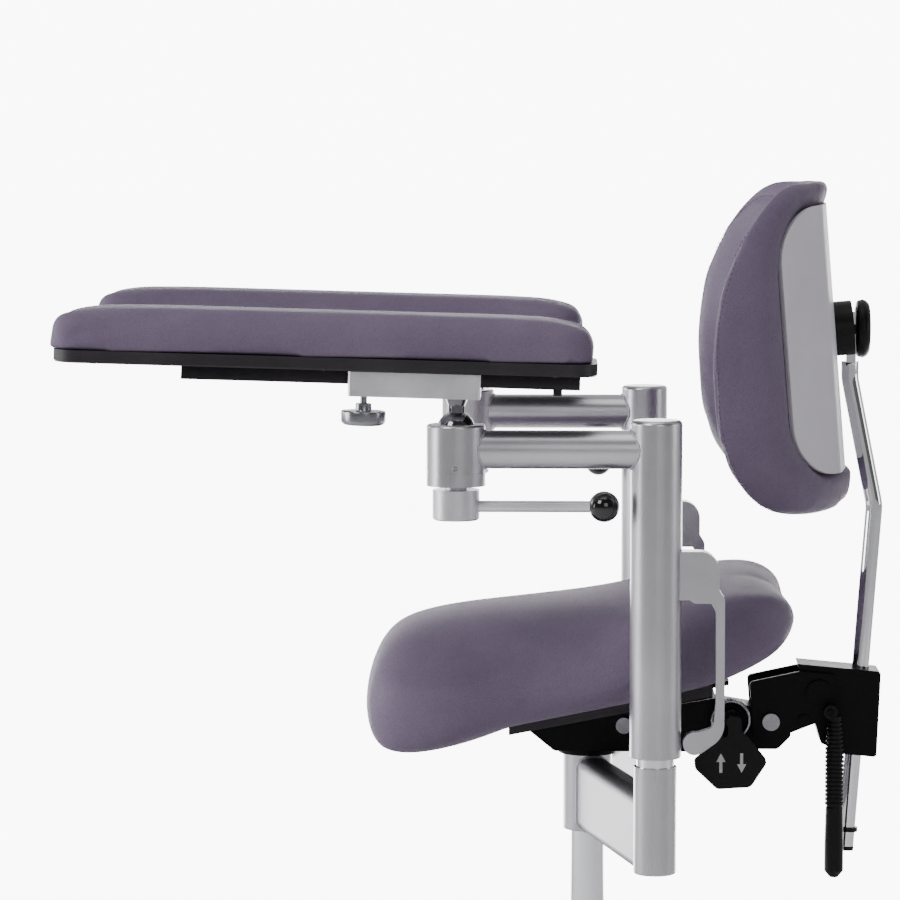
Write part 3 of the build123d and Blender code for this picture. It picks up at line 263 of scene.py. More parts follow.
# %% [markdown]
# ### Metals, paints and plastics
# The arm frame is steel with a satin silver paint, the slide block and ball housing are blasted
# aluminium, and the posts are plated. The mechanism under the seat has black powder coat, which
# is bumpy at a fraction of a millimetre. Chrome is left nearly smooth.

# %% The other finishes
finishes = {
    "black_board": finish("black_board_edge", colour(30, 27, 31), colour(44, 40, 45), (0.38, 0.52),
                          specular=0.3, cloud=14, grain=420, relief=0.25, stretch=(1, 0.12, 1)),
    "cast_aluminium": finish("polished_casting", colour(168, 169, 174), colour(206, 207, 211), (0.2, 0.34),
                             1.0, cloud=16, grain=500, relief=0.08),
    "black_plastic": finish("moulded_black", colour(6, 6, 7), colour(12, 12, 13), (0.36, 0.5), specular=0.2,
                            grain=1400, relief=0.18),
    "wheel_tread": finish("wheel_grey", colour(48, 48, 51), colour(70, 70, 73), (0.55, 0.75), grain=800,
                          relief=0.2),
    "black_steel": finish("powder_coat", colour(2, 2, 2), colour(5, 5, 5), (0.34, 0.5), specular=0.12,
                          grain=1700, relief=0.35),
    "chrome": finish("bright_plating", colour(214, 215, 219), colour(232, 233, 236), (0.03, 0.07), 1.0,
                     grain=300, relief=0.01),
    "bright_steel": finish("zinc_bright", colour(120, 120, 126), colour(168, 168, 174), (0.2, 0.32), 1.0,
                           grain=900, relief=0.08),
    "silver_paint": finish("satin_silver", colour(176, 174, 180), colour(204, 202, 208), (0.28, 0.34), 0.96,
                           cloud=5, grain=2200, relief=0.1),
    "satin_aluminium": finish("blasted_aluminium", colour(200, 199, 204), colour(226, 225, 229), (0.3, 0.4),
                              0.88, cloud=20, grain=2600, relief=0.16),
    "dark_chrome": finish("smoked_plating", colour(100, 100, 104), colour(126, 126, 130), (0.06, 0.12), 1.0,
                          grain=300, relief=0.01),
    "bushing_plastic": finish("bush_nylon", colour(54, 54, 57), colour(76, 76, 80), (0.45, 0.6), grain=1200,
                              relief=0.1),
    "knob_plastic": finish("knob_gloss", colour(9, 9, 10), colour(16, 16, 18), (0.05, 0.12), grain=400,
                           relief=0.01, coat=0.4),
    "shell_plastic": finish("grey_shell", colour(188, 184, 193), colour(200, 196, 204), (0.36, 0.46), 0.1,
                            cloud=6, specular=0.25, grain=1500, relief=0.06),
    "upholstery": cover,
}
print(len(finishes), "finishes")

# %% Dress the frame's own parts
# The two box brackets catch less light than the columns, so they get a darker copy of their silver: painted shade.
slot_of = {part["node"]: part["material_slot"] for part in frame["record"]["subparts"]}
bracket_shaded_silver = finish("bracket_silver_painted_shade", colour(140, 138, 144), colour(164, 162, 168), (0.36, 0.44), 0.9, cloud=5,
                       grain=2200, relief=0.1)
for node_name, node in nodes.items():
    node.data.materials.clear()
    node.data.materials.append(bracket_shaded_silver if node_name == "arm_brackets" else finishes[slot_of[node_name]])
print("dressed", len(slot_of), "parts")

# %% [markdown]
# ## Cushions
# Each cushion is foam under a stretched cover. A maker cuts a block, rounds it, and pulls the cover
# tight, so faces crown a little, edges turn over softly and seams sink. The same steps work here:
# weld and remesh the frame's plain block, shape it, relax its edges, then let a cloth
# simulation fill it with air while the face that is glued to its board is held still.


# %% Mesh helpers for soft pieces
CLOTH_FRAMES = 20         # length of each cloth simulation


def read_points(mesh):
    points = np.empty(len(mesh.vertices) * 3)
    mesh.vertices.foreach_get("co", points)
    return points.reshape(-1, 3)


def write_points(mesh, points):
    mesh.vertices.foreach_set("co", np.ascontiguousarray(points, dtype=np.float32).ravel())
    mesh.update()


def read_normals(mesh):
    normals = np.empty(len(mesh.vertices) * 3)
    mesh.vertices.foreach_get("normal", normals)
    return normals.reshape(-1, 3)


def bake(piece):
    """Turn a piece and its live modifiers into a plain mesh."""
    shown = piece.evaluated_get(bpy.context.evaluated_depsgraph_get())
    made = bpy.data.meshes.new_from_object(shown)
    piece.modifiers.clear()
    piece.data = made
    return piece


def add_piece(name, work):
    """Put a bmesh into the scene as a piece of its own, and free it."""
    mesh = bpy.data.meshes.new(name)
    work.to_mesh(mesh)
    work.free()
    piece = bpy.data.objects.new(name, mesh)
    scene.collection.objects.link(piece)
    return piece


def foam_block(node_name, name, cell):
    """A closed copy of a frame part, cut into even cells."""
    block = bpy.data.objects.new(name, nodes[node_name].data.copy())
    scene.collection.objects.link(block)
    work = bmesh.new()
    work.from_mesh(block.data)
    bmesh.ops.remove_doubles(work, verts=work.verts, dist=1e-5)
    bmesh.ops.recalc_face_normals(work, faces=work.faces)
    work.to_mesh(block.data)
    work.free()
    remesh = block.modifiers.new("even_cells", "REMESH")
    remesh.mode, remesh.voxel_size = "VOXEL", cell
    return bake(block)


def relax(piece, rounds, freedom):
    """Average each point with its neighbours, in several rounds, where freedom isn't 0."""
    mesh = piece.data
    points = read_points(mesh)
    edges = np.empty(len(mesh.edges) * 2, int)
    mesh.edges.foreach_get("vertices", edges)
    first, second = edges.reshape(-1, 2).T
    count = np.bincount(edges, minlength=len(points))[:, None]
    for _ in range(rounds):
        total = np.stack([np.bincount(first, points[second, axis], len(points))
                          + np.bincount(second, points[first, axis], len(points)) for axis in range(3)], axis=1)
        points += 0.5 * freedom[:, None] * (total / count - points)
    write_points(mesh, points)


def stuff(piece, held, cap, pressure):
    """Fill a piece with air in a short cloth simulation, and limit how far any point travels."""
    before = read_points(piece.data)
    group = piece.vertex_groups.new(name="glued")
    group.add([int(i) for i in np.flatnonzero(held)], 1.0, "REPLACE")
    cloth = piece.modifiers.new("stuffing", "CLOTH")
    cloth.settings.quality = 4
    cloth.settings.use_pressure = True
    cloth.settings.uniform_pressure_force = pressure
    cloth.settings.effector_weights.gravity = 0.0
    cloth.settings.vertex_group_mass = "glued"
    for moment in range(1, CLOTH_FRAMES + 1):
        scene.frame_set(moment)
    bake(piece)
    scene.frame_set(1)
    move = read_points(piece.data) - before
    far = np.linalg.norm(move, axis=1, keepdims=True)
    write_points(piece.data, before + move * (cap * np.tanh(far / cap) / np.maximum(far, 1e-9)))
    piece.vertex_groups.clear()
    print("  stuffed", piece.name, "by up to", round(float(far.max() * 1000), 1), "mm before the cap")


def smoothstep(value, low, high):
    share = np.clip((value - low) / (high - low), 0, 1)
    return share * share * (3 - 2 * share)


def finish_cushion(piece, body, node_name):
    """Round off a cushion with one subdivision and put it in its part's place."""
    smooth = piece.modifiers.new("cover", "SUBSURF")
    smooth.levels = smooth.render_levels = 1
    bake(piece)
    piece.data.materials.clear()
    piece.data.materials.append(cover)
    piece.data.shade_smooth()
    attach(piece, body)
    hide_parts(node_name)
    print(piece.name, len(piece.data.polygons), "faces")


# %% [markdown]
# ### Seat
# The seat is one deep foam block with a waterfall front. It is highest along the middle in
# front, where the thighs slope away to each side, and dished a little towards the raised rear.
# Its front and side edges turn under in one wide curve.

# %% Shape the seat
board_height, board_slope = 0.4888, 0.196        # the seat board's top face on the middle line
seat = foam_block("seat_cushion", "seat_upholstery", cell=0.006)
seat_low, seat_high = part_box("seat_cushion")
points = read_points(seat.data)
under = board_height + board_slope * points[:, 1]
crown = np.interp(points[:, 1], [-0.2, -0.12, 0.0, 0.12, 0.178, 0.196], [0.535, 0.562, 0.574, 0.592, 0.596, 0.585])
share = np.clip((points[:, 2] - under) / np.maximum(crown - under, 0.02), 0, 1)
fall = np.interp(points[:, 1], [-0.2, -0.1, -0.03, 0.01, 0.036, 0.1, 0.13, 0.19],
                 [0.040, 0.047, 0.037, 0.032, 0.022, 0.004, 0.002, 0.0])
sideways = np.abs(points[:, 0]) / seat_high.x
points[:, 2] -= share * fall * sideways ** 2.6
front_lobe = smoothstep(-points[:, 1], 0.08, 0.19)
points[:, 1] -= 0.008 * front_lobe
points[:, 2] -= 0.014 * front_lobe * (1 - share)
points[:, 2] -= 0.004 * share
centre = np.array([0.0, (seat_low.y + seat_high.y) / 2])
loose = smoothstep(share, 0.0, 0.12)
points[:, :2] -= (points[:, :2] - centre) * 0.004 * loose[:, None]
write_points(seat.data, points)
on_board = (np.abs(points[:, 0]) < 0.15) & (points[:, 1] > -0.07) & (points[:, 1] < 0.11)
glued = on_board & (np.abs(points[:, 2] - under) < 0.004)
free = np.where(glued, 0.0, 1.0)
relax(seat, rounds=46, freedom=free)
stuff(seat, glued, cap=0.005, pressure=1.5)
relax(seat, rounds=14, freedom=free)
finish_cushion(seat, "seat", "seat_cushion")

# %% [markdown]
# ### Arm pads
# The two pads are thin foam on a black board, straight-sided with a soft top edge. They are a
# pair: the second is the first one seen in a mirror, set a few millimetres further forward.

# %% Shape the left arm pad
pad_tilt = math.radians(1.58)
pad_half, pad_corner = np.array([0.061, 0.2335]), 0.026        # half width and half length, corner radius
ball_left = Vector(joints["pad_pitch_left"]["pos_m"])


def along_pad(points, ball):
    """Coordinates in the pad's own level frame, with the ball's centre at the origin."""
    out = points - np.array(ball)
    level_y = out[:, 1] * math.cos(pad_tilt) - out[:, 2] * math.sin(pad_tilt)
    level_z = out[:, 1] * math.sin(pad_tilt) + out[:, 2] * math.cos(pad_tilt)
    return np.stack([out[:, 0], level_y, level_z], axis=1)


def stuffed_pad(node_name, name, ball):
    """One pad's foam, drawn in towards its top and pulled over at the front."""
    pad = foam_block(node_name, name, cell=0.0045)
    place = along_pad(read_points(pad.data), ball)
    height = place[:, 2] - place[:, 2].min()
    middle = (place.max(axis=0) + place.min(axis=0)) / 2
    points = read_points(pad.data)
    draw_in = smoothstep(height, 0.001, 0.012) * 0.0025
    outward = place - middle
    corner = np.maximum(np.abs(outward[:, :2]) - (pad_half - pad_corner), 0)
    lean = np.sign(outward[:, :2]) * corner / np.maximum(np.linalg.norm(corner, axis=1, keepdims=True), 1e-6)
    points[:, :2] -= lean * draw_in[:, None]
    points[:, 2] -= 0.0042 * smoothstep(height, 0.006, 0.03)
    points[:, 1] -= 0.008 * smoothstep(-place[:, 1] + middle[1], 0.12, pad_half[1])
    write_points(pad.data, points)
    glued = height < 0.002
    free = np.where(glued, 0.0, 1.0)
    relax(pad, rounds=5, freedom=free)
    stuff(pad, glued, cap=0.005, pressure=2.0)
    relax(pad, rounds=4, freedom=free)
    return pad


pad_left = stuffed_pad("arm_pad_left", "arm_pad_cover_left", ball_left)

# %% Mirror it for the right side
low_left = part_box("arm_pad_left")[0]
low_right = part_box("arm_pad_right")[0]
pad_right = pad_left.copy()
pad_right.data = pad_left.data.copy()
pad_right.name = pad_right.data.name = "arm_pad_cover_right"
scene.collection.objects.link(pad_right)
points = read_points(pad_right.data)
shift = np.array([0, low_right.y - low_left.y, low_right.z - low_left.z])
write_points(pad_right.data, points * np.array([-1, 1, 1]) + shift)
pad_right.data.flip_normals()
finish_cushion(pad_left, "pad_left", "arm_pad_left")
finish_cushion(pad_right, "pad_right", "arm_pad_right")

# %% [markdown]
# ### Backrest cushion
# The backrest wraps round the sitter. Its front panel is sewn to a deep side band, and the band turns
# over a soft rim at the rear, where the shell sits sunk into it. The band bulges, the front
# panel falls back towards its top and bottom, and the seam between them is the one crisp line.

# %% Shape the backrest cushion
hinge = np.array(joints["back_tilt"]["pos_m"])
back_lean = math.radians(4.6)
back_half, back_low, back_high, back_corner = 0.186, -0.160, 0.141, 0.084
wrap_centre, wrap_front, shell_centre, shell_inner = -0.3395, 0.262, -0.2745, 0.255


def along_back(points):
    """Coordinates in the backrest's own upright frame, with the hinge at the origin."""
    out = points - hinge
    upright_y = out[:, 1] * math.cos(back_lean) + out[:, 2] * math.sin(back_lean)
    upright_z = -out[:, 1] * math.sin(back_lean) + out[:, 2] * math.cos(back_lean)
    return np.stack([out[:, 0], upright_y, upright_z], axis=1)


def from_back(place):
    """The way back from along_back."""
    y = place[:, 1] * math.cos(back_lean) - place[:, 2] * math.sin(back_lean)
    z = place[:, 1] * math.sin(back_lean) + place[:, 2] * math.cos(back_lean)
    return np.stack([place[:, 0], y, z], axis=1) + hinge


def inset(place, half, low, high, corner):
    """Distance from the rounded outline, seen from the front: positive inside it."""
    middle = (high + low) / 2
    beyond = np.stack([np.abs(place[:, 0]) - (half - corner),
                       np.abs(place[:, 2] - middle) - ((high - low) / 2 - corner)], axis=1)
    return corner - np.linalg.norm(np.maximum(beyond, 0), axis=1) - np.minimum(beyond.max(axis=1), 0)


back = foam_block("back_cushion", "backrest_upholstery", cell=0.005)
place = along_back(read_points(back.data))
edge = inset(place, back_half, back_low, back_high, back_corner)
front_gap = np.hypot(place[:, 0], place[:, 1] - wrap_centre) - wrap_front
rear_gap = shell_inner - np.hypot(place[:, 0], place[:, 1] - shell_centre)
depth_share = np.clip(rear_gap / np.maximum(rear_gap + front_gap, 1e-4), 0, 1)
rise = np.clip((place[:, 2] + 0.01) / 0.15, 0, 1)
fall_back = 0.017 * (1 - np.cos(math.pi * rise)) + 0.013 * (1 - smoothstep(edge, 0.0, 0.035))
place[:, 1] += fall_back * depth_share
rim = smoothstep(-inset(place, 0.156, -0.122, 0.117, 0.052), 0.000, 0.006) * (rear_gap < 0.004)
place[:, 1] += rim * 0.010
write_points(back.data, from_back(place))
glued = (rear_gap < 0.003) & (edge > 0.028)
free = np.where(glued, 0.0, 1.0)
relax(back, rounds=12, freedom=free)
stuff(back, glued, cap=0.004, pressure=1.5)
relax(back, rounds=14, freedom=free)
finish_cushion(back, "backrest", "back_cushion")

# %% [markdown]
# ### The sewn edge of the backrest
# Front panel and side band meet in a seam. The needle pulls the cover into the foam there,
# so the seam lies in a small valley, with a row of stitches beside it. The seam follows the
# outline, projected on to the stuffed cushion, and the stitches are laid along it by a small
# Geometry Nodes tree that can be used again for anything that runs in a row.


# %% A row of small pieces along a path
def row_tree(name, make_piece):
    """A Geometry Nodes tree that sets the same small piece along a path at even steps."""
    tree = bpy.data.node_groups.new(name, "GeometryNodeTree")
    face = tree.interface
    face.new_socket("Path", in_out="INPUT", socket_type="NodeSocketGeometry")
    for socket_name, kind in (("Count", "NodeSocketInt"), ("Length", "NodeSocketFloat"),
                              ("Width", "NodeSocketFloat"), ("Height", "NodeSocketFloat"),
                              ("Seed", "NodeSocketInt"), ("Finish", "NodeSocketMaterial")):
        face.new_socket(socket_name, in_out="INPUT", socket_type=kind)
    face.new_socket("Row", in_out="OUTPUT", socket_type="NodeSocketGeometry")
    given = tree.nodes.new("NodeGroupInput").outputs
    line = add_node(tree, "GeometryNodeMeshToCurve", Mesh=given["Path"]).outputs[0]
    steps = add_node(tree, "GeometryNodeResampleCurve", Curve=line, Count=given["Count"]).outputs[0]
    along = add_node(tree, "GeometryNodeInputTangent").outputs[0]
    facing = add_node(tree, "FunctionNodeAlignRotationToVector", {"axis": "X"}, Vector=along).outputs[0]
    size = add_node(tree, "ShaderNodeCombineXYZ", X=given["Length"], Y=given["Width"], Z=given["Height"]).outputs[0]
    uneven = add_node(tree, "FunctionNodeRandomValue", {"data_type": "FLOAT"}, i2=0.88, i3=1.12,
                      Seed=given["Seed"]).outputs[1]
    scaled = add_node(tree, "ShaderNodeVectorMath", {"operation": "SCALE"}, i0=size, Scale=uneven).outputs[0]
    placed = add_node(tree, "GeometryNodeInstanceOnPoints", Points=steps, Instance=make_piece(tree), Rotation=facing,
                      Scale=scaled).outputs[0]
    real = add_node(tree, "GeometryNodeRealizeInstances", Geometry=placed).outputs[0]
    painted = add_node(tree, "GeometryNodeSetMaterial", Geometry=real, Material=given["Finish"]).outputs[0]
    smooth = add_node(tree, "GeometryNodeSetShadeSmooth", Geometry=painted).outputs[0]
    add_node(tree, "NodeGroupOutput", Row=smooth)
    return tree


def bead_piece(tree):
    """A small round drop, scaled to size by the row."""
    return add_node(tree, "GeometryNodeMeshUVSphere", Segments=8, Rings=5, Radius=0.5).outputs[0]


bead_row = row_tree("bead_row", bead_piece)


def run_row(tree, name, paths, count, length, width, height, material, closed=True, seed=1):
    """Lay a row along each closed or open path, and turn the result into a plain mesh."""
    work = bmesh.new()
    for path in paths:
        verts = [work.verts.new(point) for point in path]
        for first, second in zip(verts, verts[1:] + verts[:1] if closed else verts[1:]):
            work.edges.new((first, second))
    row = add_piece(name, work)
    modifier = row.modifiers.new("row", "NODES")
    modifier.node_group = tree
    values = {"Count": count, "Length": length, "Width": width, "Height": height, "Seed": seed,
              "Finish": material}
    for item in tree.interface.items_tree:
        if item.in_out == "INPUT" and item.name in values:
            modifier[item.identifier] = values[item.name]
    bake(row)
    print(name, len(row.data.polygons), "faces")
    return row


# %% Sew the backrest's seam
def distance_to_line(points, line):
    """Distance of each point to the nearest point of a line, worked out in batches."""
    batches = np.array_split(points, 24)
    return np.concatenate([np.sqrt(((part[:, None, :] - line[None]) ** 2).sum(axis=2).min(axis=1))
                           for part in batches])


def back_edge_path(half, low, high, corner, front, steps=240):
    """Points round the rounded outline, lying on the curved front at a given radius."""
    middle, tall = (high + low) / 2, (high - low) / 2
    path = []
    for index in range(steps):
        angle = 2 * math.pi * index / steps
        x, z = math.cos(angle), math.sin(angle)
        far = 1.0
        for _ in range(40):
            beyond = (max(abs(x) * far - (half - corner), 0), max(abs(z) * far - (tall - corner), 0))
            error = math.hypot(*beyond) - corner if max(beyond) > 0 else -corner
            far -= error * 0.7
        path.append((x * far, wrap_centre + math.sqrt(front ** 2 - (x * far) ** 2), middle + z * far))
    return from_back(np.array(path))


seam_path = back_edge_path(back_half, back_low, back_high, back_corner, wrap_front + 0.009)
cover_tree = BVHTree.FromObject(back, bpy.context.evaluated_depsgraph_get())
seam_points = [cover_tree.find_nearest(Vector(point))[0] for point in seam_path]
for _ in range(3):
    before, after = seam_points[-1:] + seam_points[:-1], seam_points[1:] + seam_points[:1]
    seam_points = [(a + b * 2 + c) / 4 for a, b, c in zip(before, seam_points, after)]
seam_depth, seam_width = 0.0016, 0.0032
points, normals = read_points(back.data), read_normals(back.data)
near = distance_to_line(points, np.array(seam_points))
points -= normals * (seam_depth * np.exp(-(near / seam_width) ** 2))[:, None]
write_points(back.data, points)
thread = finish("mauve_thread", colour(70, 62, 80), colour(88, 79, 98), (0.75, 0.9), grain=3000, relief=0.3,
                specular=0.1)
band_shift = np.array([0.0, 0.0045, 0.0])
stitch_line = [cover_tree.find_nearest(Vector(np.array(p) + band_shift))[0] for p in seam_points]
back_stitches = run_row(bead_row, "backrest_stitches", [stitch_line], count=250, length=0.0032, width=0.0006,
                        height=0.0005, material=thread)
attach(back_stitches, "backrest")

# %% [markdown]
# ## The rear shell
# The shell is a bent sheet: a nearly flat middle with a soft fold at each side, behind which
# flat wings follow the cushion. It sits sunk in the cushion's rear rim. The section is drawn as
# one line across the width, swept up the height, cut to the rounded outline, and given its
# thickness and a rounded edge by modifiers.

# %% Bend the shell
shell_half, shell_low, shell_high, shell_corner = 0.157, -0.123, 0.118, 0.050
fold_at, fold_width = 0.098, 0.012
shell_bow, wing_slope = 0.95, 0.55


def shell_section(x):
    """Depth of the shell's rear face at a distance from the middle."""
    flat = -0.0150 - shell_bow * x * x
    past = np.maximum(x - fold_at, 0)
    bend = np.where(past < fold_width, past ** 2 / (2 * fold_width), past - fold_width / 2)
    return flat - wing_slope * bend


def bent_shell(name):
    """Grid of the shell, its rows pulled in to the rounded outline."""
    across = np.concatenate([np.linspace(-1, -0.74, 12), np.linspace(-0.72, -0.56, 14),
                             np.linspace(-0.54, 0.54, 22), np.linspace(0.56, 0.72, 14),
                             np.linspace(0.74, 1, 12)])
    rows = np.sin(np.linspace(-0.5, 0.5, 61) * math.pi) * 0.5 + 0.5
    work = bmesh.new()
    grid = []
    for share in rows:
        z = shell_low + share * (shell_high - shell_low)
        from_end = min(z - shell_low, shell_high - z)
        cut = shell_corner - math.sqrt(max(shell_corner ** 2 - max(shell_corner - from_end, 0) ** 2, 0))
        half = shell_half - cut
        line = []
        for side in across:
            x = side * half
            line.append(work.verts.new((x, float(shell_section(np.array(abs(x)))), z)))
        grid.append(line)
    for lower, upper in zip(grid, grid[1:]):
        for index in range(len(lower) - 1):
            work.faces.new((lower[index], upper[index], upper[index + 1], lower[index + 1]))
    bmesh.ops.remove_doubles(work, verts=work.verts, dist=1e-6)
    piece = add_piece(name, work)
    write_points(piece.data, from_back(read_points(piece.data)))
    return piece


shell_panel = bent_shell("rear_shell_panel")
some_face = shell_panel.data.polygons[800]
if some_face.normal.y < 0:
    shell_panel.data.flip_normals()
thick = shell_panel.modifiers.new("thickness", "SOLIDIFY")
thick.thickness, thick.offset = 0.0045, -1.0
rounded = shell_panel.modifiers.new("edge", "BEVEL")
rounded.width, rounded.segments, rounded.limit_method = 0.0012, 2, "ANGLE"
bake(shell_panel)
shell_panel.data.materials.clear()
shell_panel.data.materials.append(finishes["shell_plastic"])
shell_panel.data.shade_smooth()
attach(shell_panel, "backrest")
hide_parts("back_shell")
print("shell", len(shell_panel.data.polygons), "faces")

# %% [markdown]
# ## Turned parts
# Knobs are turned or moulded round, so their shape is one outline swept round an axis. A short
# helper takes the outline as radius and distance along the axis, and closes both poles.


# %% Turn an outline round an axis
def turned(name, outline, origin, axis, material, body, steps=64):
    """Closed round piece from (radius, distance) points, starting and ending on the axis."""
    work = bmesh.new()
    frame_turn = Vector(axis).normalized().to_track_quat("Z", "Y").to_matrix()

    def spun(radius, distance, k):
        angle = 2 * math.pi * k / steps
        spot = Vector((radius * math.cos(angle), radius * math.sin(angle), distance))
        return work.verts.new(Vector(origin) + frame_turn @ spot)

    rings = [[spun(radius, distance, k) for k in range(steps if radius > 0 else 1)] for radius, distance in outline]
    for lower, upper in zip(rings, rings[1:]):
        for k in range(steps):
            corners = [lower[k % len(lower)], lower[(k + 1) % len(lower)],
                       upper[(k + 1) % len(upper)], upper[k % len(upper)]]
            corners = [c for n, c in enumerate(corners) if c not in corners[:n]]
            if len(corners) > 2:
                work.faces.new(corners)
    bmesh.ops.recalc_face_normals(work, faces=work.faces)
    piece = add_piece(name, work)
    piece.data.materials.append(material)
    piece.data.shade_smooth()
    piece.data.set_sharp_from_angle(angle=math.radians(38))
    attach(piece, body)
    return piece


def rounded_corner(radius, distance, size, quarter, steps=6):
    """Points of a quarter-round: quarter 0 turns outwards to the side, 1 turns inwards over the end."""
    out = []
    for k in range(steps + 1):
        angle = math.pi / 2 * k / steps
        if quarter == 0:
            out.append((radius - size + size * math.sin(angle), distance + size - size * math.cos(angle)))
        else:
            out.append((radius - size + size * math.cos(angle), distance - size + size * math.sin(angle)))
    return out


# %% [markdown]
# ### Backrest knob
# A fat rubber-like knob clamps the hinge. It has a softly rounded front lip, a straight grip and
# a rounded end with a dimple, where the moulding's gate was.

# %% Turn the backrest knob
knob_low, knob_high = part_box("back_knob")
knob_radius = (knob_high.x - knob_low.x) / 2
knob_middle = ((knob_low.x + knob_high.x) / 2, 0, (knob_low.z + knob_high.z) / 2)
knob_front, knob_rear = knob_high.y - 0.0145, knob_high.y - 0.0024
disc_front = knob_front - 0.0008
knob_line = [(0, disc_front), (0.020, disc_front), (0.0206, knob_front - 0.0004)]
knob_line += rounded_corner(knob_radius - 0.0006, knob_front, 0.003, 0)
knob_line += [(knob_radius, knob_front + 0.006)] + rounded_corner(knob_radius, knob_rear, 0.0075, 1)
knob_line += [(0.0065, knob_rear - 0.0001), (0.0058, knob_rear - 0.0007), (0.0045, knob_rear - 0.0016),
              (0, knob_rear - 0.0018)]
back_knob_piece = turned("backrest_clamp_knob", knob_line, knob_middle, (0, 1, 0), finishes["black_plastic"],
                         "hinge_knob")
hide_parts("back_knob")

# %% [markdown]
# ### Slide lock knobs
# Each slide is locked by a flat round hand screw with a smooth satin rim, a short collar and a
# bright threaded stud.

# %% Turn the slide lock knobs
lock_forward = 0.081      # from the ball's centre to the lock screw, along the pad
lock_radius, lock_foot, lock_top = 0.0195, 0.0018, 0.0144
lock_line = [(0, lock_foot)] + rounded_corner(lock_radius, lock_foot, 0.004, 0)
lock_line += rounded_corner(lock_radius, lock_top, 0.0012, 1)
lock_line += [(0.0072, lock_top), (0.007, 0.0150), (0.007, 0.0204), (0.0066, 0.0208), (0.0031, 0.0208),
              (0.003, 0.0212), (0.003, 0.0374), (0, 0.0379)]
for side in ("left", "right"):
    up = Vector((0, math.sin(pad_tilt), math.cos(pad_tilt)))
    ball = Vector(joints[f"pad_pitch_{side}"]["pos_m"])
    foot = ball + Vector((0, -lock_forward * math.cos(pad_tilt), lock_forward * math.sin(pad_tilt)))
    lock = turned(f"slide_lock_knob_{side}", lock_line, foot, up, finishes["bright_steel"], f"screw_{side}",
                  steps=90)
    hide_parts(f"lock_knob_{side}")
print("turned 3 knobs")

# %% [markdown]
# ## Weld beads
# The arm frame is welded. A bead of small overlapping drops runs round each joint: where the
# two box brackets meet the hub and the sockets, and where the support tubes meet their sleeves
# and ball housings. Each path is worked out as the line in which the two shapes meet.

# %% Lay the weld beads
hub_low, hub_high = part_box("arm_hub")
hub_radius = (hub_high.x - hub_low.x) / 2
socket_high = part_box("column_sockets")[1]
column = Vector(joints["arm_swing_left"]["pos_m"])
socket_radius = socket_high.x - column.x
bracket_half, bracket_tall, bracket_corner = 0.015, 0.035, 0.011        # half width, half height, corner
bracket_low, bracket_high = hub_low.z, hub_low.z + 2 * bracket_tall
tube_radius, tube_z, housing_radius = 0.0168, 0.728, 0.0257


def bracket_ring():
    """Corners of the bracket's outer section as (across, height), going round it."""
    ring = []
    for turn_index, (u, w) in enumerate(((1, 1), (-1, 1), (-1, -1), (1, -1))):
        for k in range(9):
            angle = math.pi / 2 * (turn_index + k / 8)
            ring.append((u * (bracket_half - bracket_corner) + bracket_corner * math.cos(angle),
                         w * (bracket_tall - bracket_corner) + bracket_corner * math.sin(angle)))
    return ring


def bracket_paths(side):
    """Where one bracket meets the hub, and where it meets its socket."""
    reach = math.hypot(column.x, column.y)
    outward = Vector((side * column.x, column.y, 0)) / reach
    across = Vector((-outward.y, outward.x, 0))
    middle = Vector((0, 0, (bracket_low + bracket_high) / 2))
    at_hub, at_socket = [], []
    for u, w in bracket_ring():
        point = middle + across * u + Vector((0, 0, w))
        at_hub.append(point + outward * (math.sqrt(hub_radius ** 2 - u * u) + 0.0004))
        at_socket.append(point + outward * (reach - math.sqrt(socket_radius ** 2 - u * u) - 0.0004))
    return at_hub, at_socket


silver = finishes["silver_paint"]
frame_paths = [path for side in (1, -1) for path in bracket_paths(side)]
frame_beads = run_row(bead_row, "bracket_weld_beads", frame_paths, count=92, length=0.0042, width=0.0030,
                      height=0.0026, material=silver, seed=3)
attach(frame_beads, "column")

for side, sign in (("left", 1), ("right", -1)):
    ball = joints[f"pad_pitch_{side}"]["pos_m"]
    sleeve_low, sleeve_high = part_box(f"column_sleeve_{side}")
    sleeve_radius = (sleeve_high.x - sleeve_low.x) / 2
    angles = [2 * math.pi * k / 60 for k in range(60)]
    ring = [(tube_radius * math.cos(a), tube_z + tube_radius * math.sin(a)) for a in angles]
    at_sleeve = [(sign * column.x + x, column.y - math.sqrt(sleeve_radius ** 2 - x * x) - 0.0002, z)
                 for x, z in ring]
    at_housing = [(sign * column.x + x, ball[1] + math.sqrt(housing_radius ** 2 - x * x) + 0.0002, z)
                  for x, z in ring]
    beads = run_row(bead_row, f"support_arm_weld_beads_{side}", [at_sleeve, at_housing], count=64, length=0.0030,
                    width=0.0020, height=0.0020, material=silver, seed=5)
    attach(beads, f"arm_{side}")

# %% [markdown]
# ## Small details
# Pan-head screws hold each board to its pad from below, in two rows beside the rail. A grub screw
# sits in the side of each ball housing, and the paddle carries two plain printed arrows.

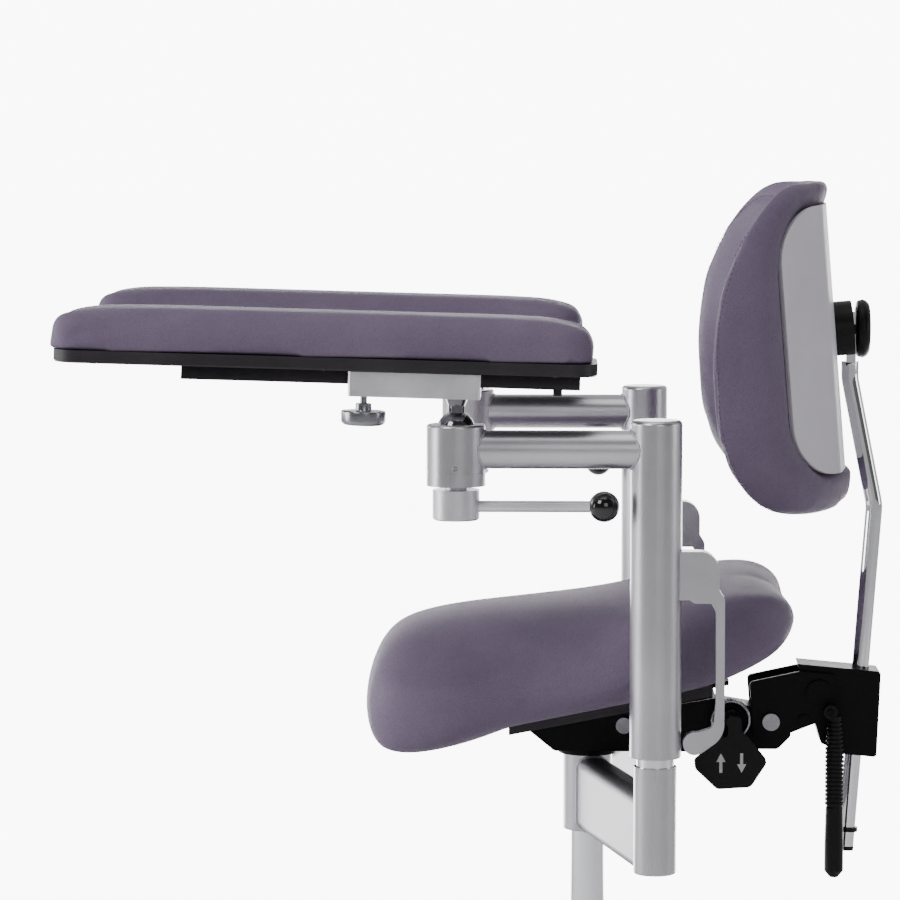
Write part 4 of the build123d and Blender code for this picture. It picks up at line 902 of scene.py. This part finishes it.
# %% Screws under the boards
board_under = 0.0503                      # height of the board's underside over the ball's centre
rail_aside, screw_spread = -0.031, 0.044  # the rail's place across the board, and each row's distance from it
right_lead = 0.007                        # how much further forward the right pad rests
for side, sign in (("left", 1), ("right", -1)):
    ball = Vector(joints[f"pad_pitch_{side}"]["pos_m"])
    forward = 0.0 if sign > 0 else right_lead
    rows = []
    for across in (rail_aside - screw_spread, rail_aside + screw_spread):
        rows.append([ball + Vector((sign * across, y * math.cos(pad_tilt) + board_under * math.sin(pad_tilt),
                                    -y * math.sin(pad_tilt) + board_under * math.cos(pad_tilt)))
                     for y in (-0.315 - forward, 0.085 - forward)])
    screws = run_row(bead_row, f"board_screws_{side}", rows, count=5, length=0.0085, width=0.0085, height=0.0030,
                     material=finishes["bright_steel"], closed=False, seed=7)
    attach(screws, f"pad_{side}")

# %% Grub screws in the ball housings
grub_out, grub_z = 0.0256, 0.7130
grub_line = [(0, -0.0014), (0.0022, -0.0014), (0.0022, 0.0001), (0.0019, 0.0004), (0.0012, 0.0004),
             (0.0010, -0.0008), (0, -0.0010)]
for side, sign in (("left", 1), ("right", -1)):
    ball = joints[f"pad_pitch_{side}"]["pos_m"]
    spot = (sign * (column.x + grub_out), ball[1], grub_z)
    turned(f"housing_grub_screw_{side}", grub_line, spot, (sign, 0, 0), finishes["bright_steel"], f"arm_{side}",
           steps=24)

# %% Arrows on the paddle
arrow_outline = [(-0.0014, -0.009), (0.0014, -0.009), (0.0014, 0.001), (0.0042, 0.001), (0.0, 0.009),
                 (-0.0042, 0.001), (-0.0014, 0.001)]
arrow_z = 0.4265
paddle_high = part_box("height_paddle")[1]
print_face, print_back = paddle_high.x + 0.0002, paddle_high.x - 0.0004
work = bmesh.new()
for middle_y, turn in ((0.1215, 1), (0.1405, -1)):
    front = [work.verts.new((print_face, middle_y + turn * y, arrow_z + turn * z)) for y, z in arrow_outline]
    rear = [work.verts.new((print_back, middle_y + turn * y, arrow_z + turn * z)) for y, z in arrow_outline]
    work.faces.new(front)
    work.faces.new(rear[::-1])
    for k in range(len(front)):
        work.faces.new((front[k - 1], rear[k - 1], rear[k], front[k]))
bmesh.ops.recalc_face_normals(work, faces=work.faces)
arrows = add_piece("paddle_arrows", work)
arrows.data.materials.append(finish("arrow_print", colour(176, 176, 180), colour(200, 200, 204), (0.5, 0.6),
                                    grain=2500, relief=0.1, specular=0.3))
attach(arrows, "paddle")
print("details added")
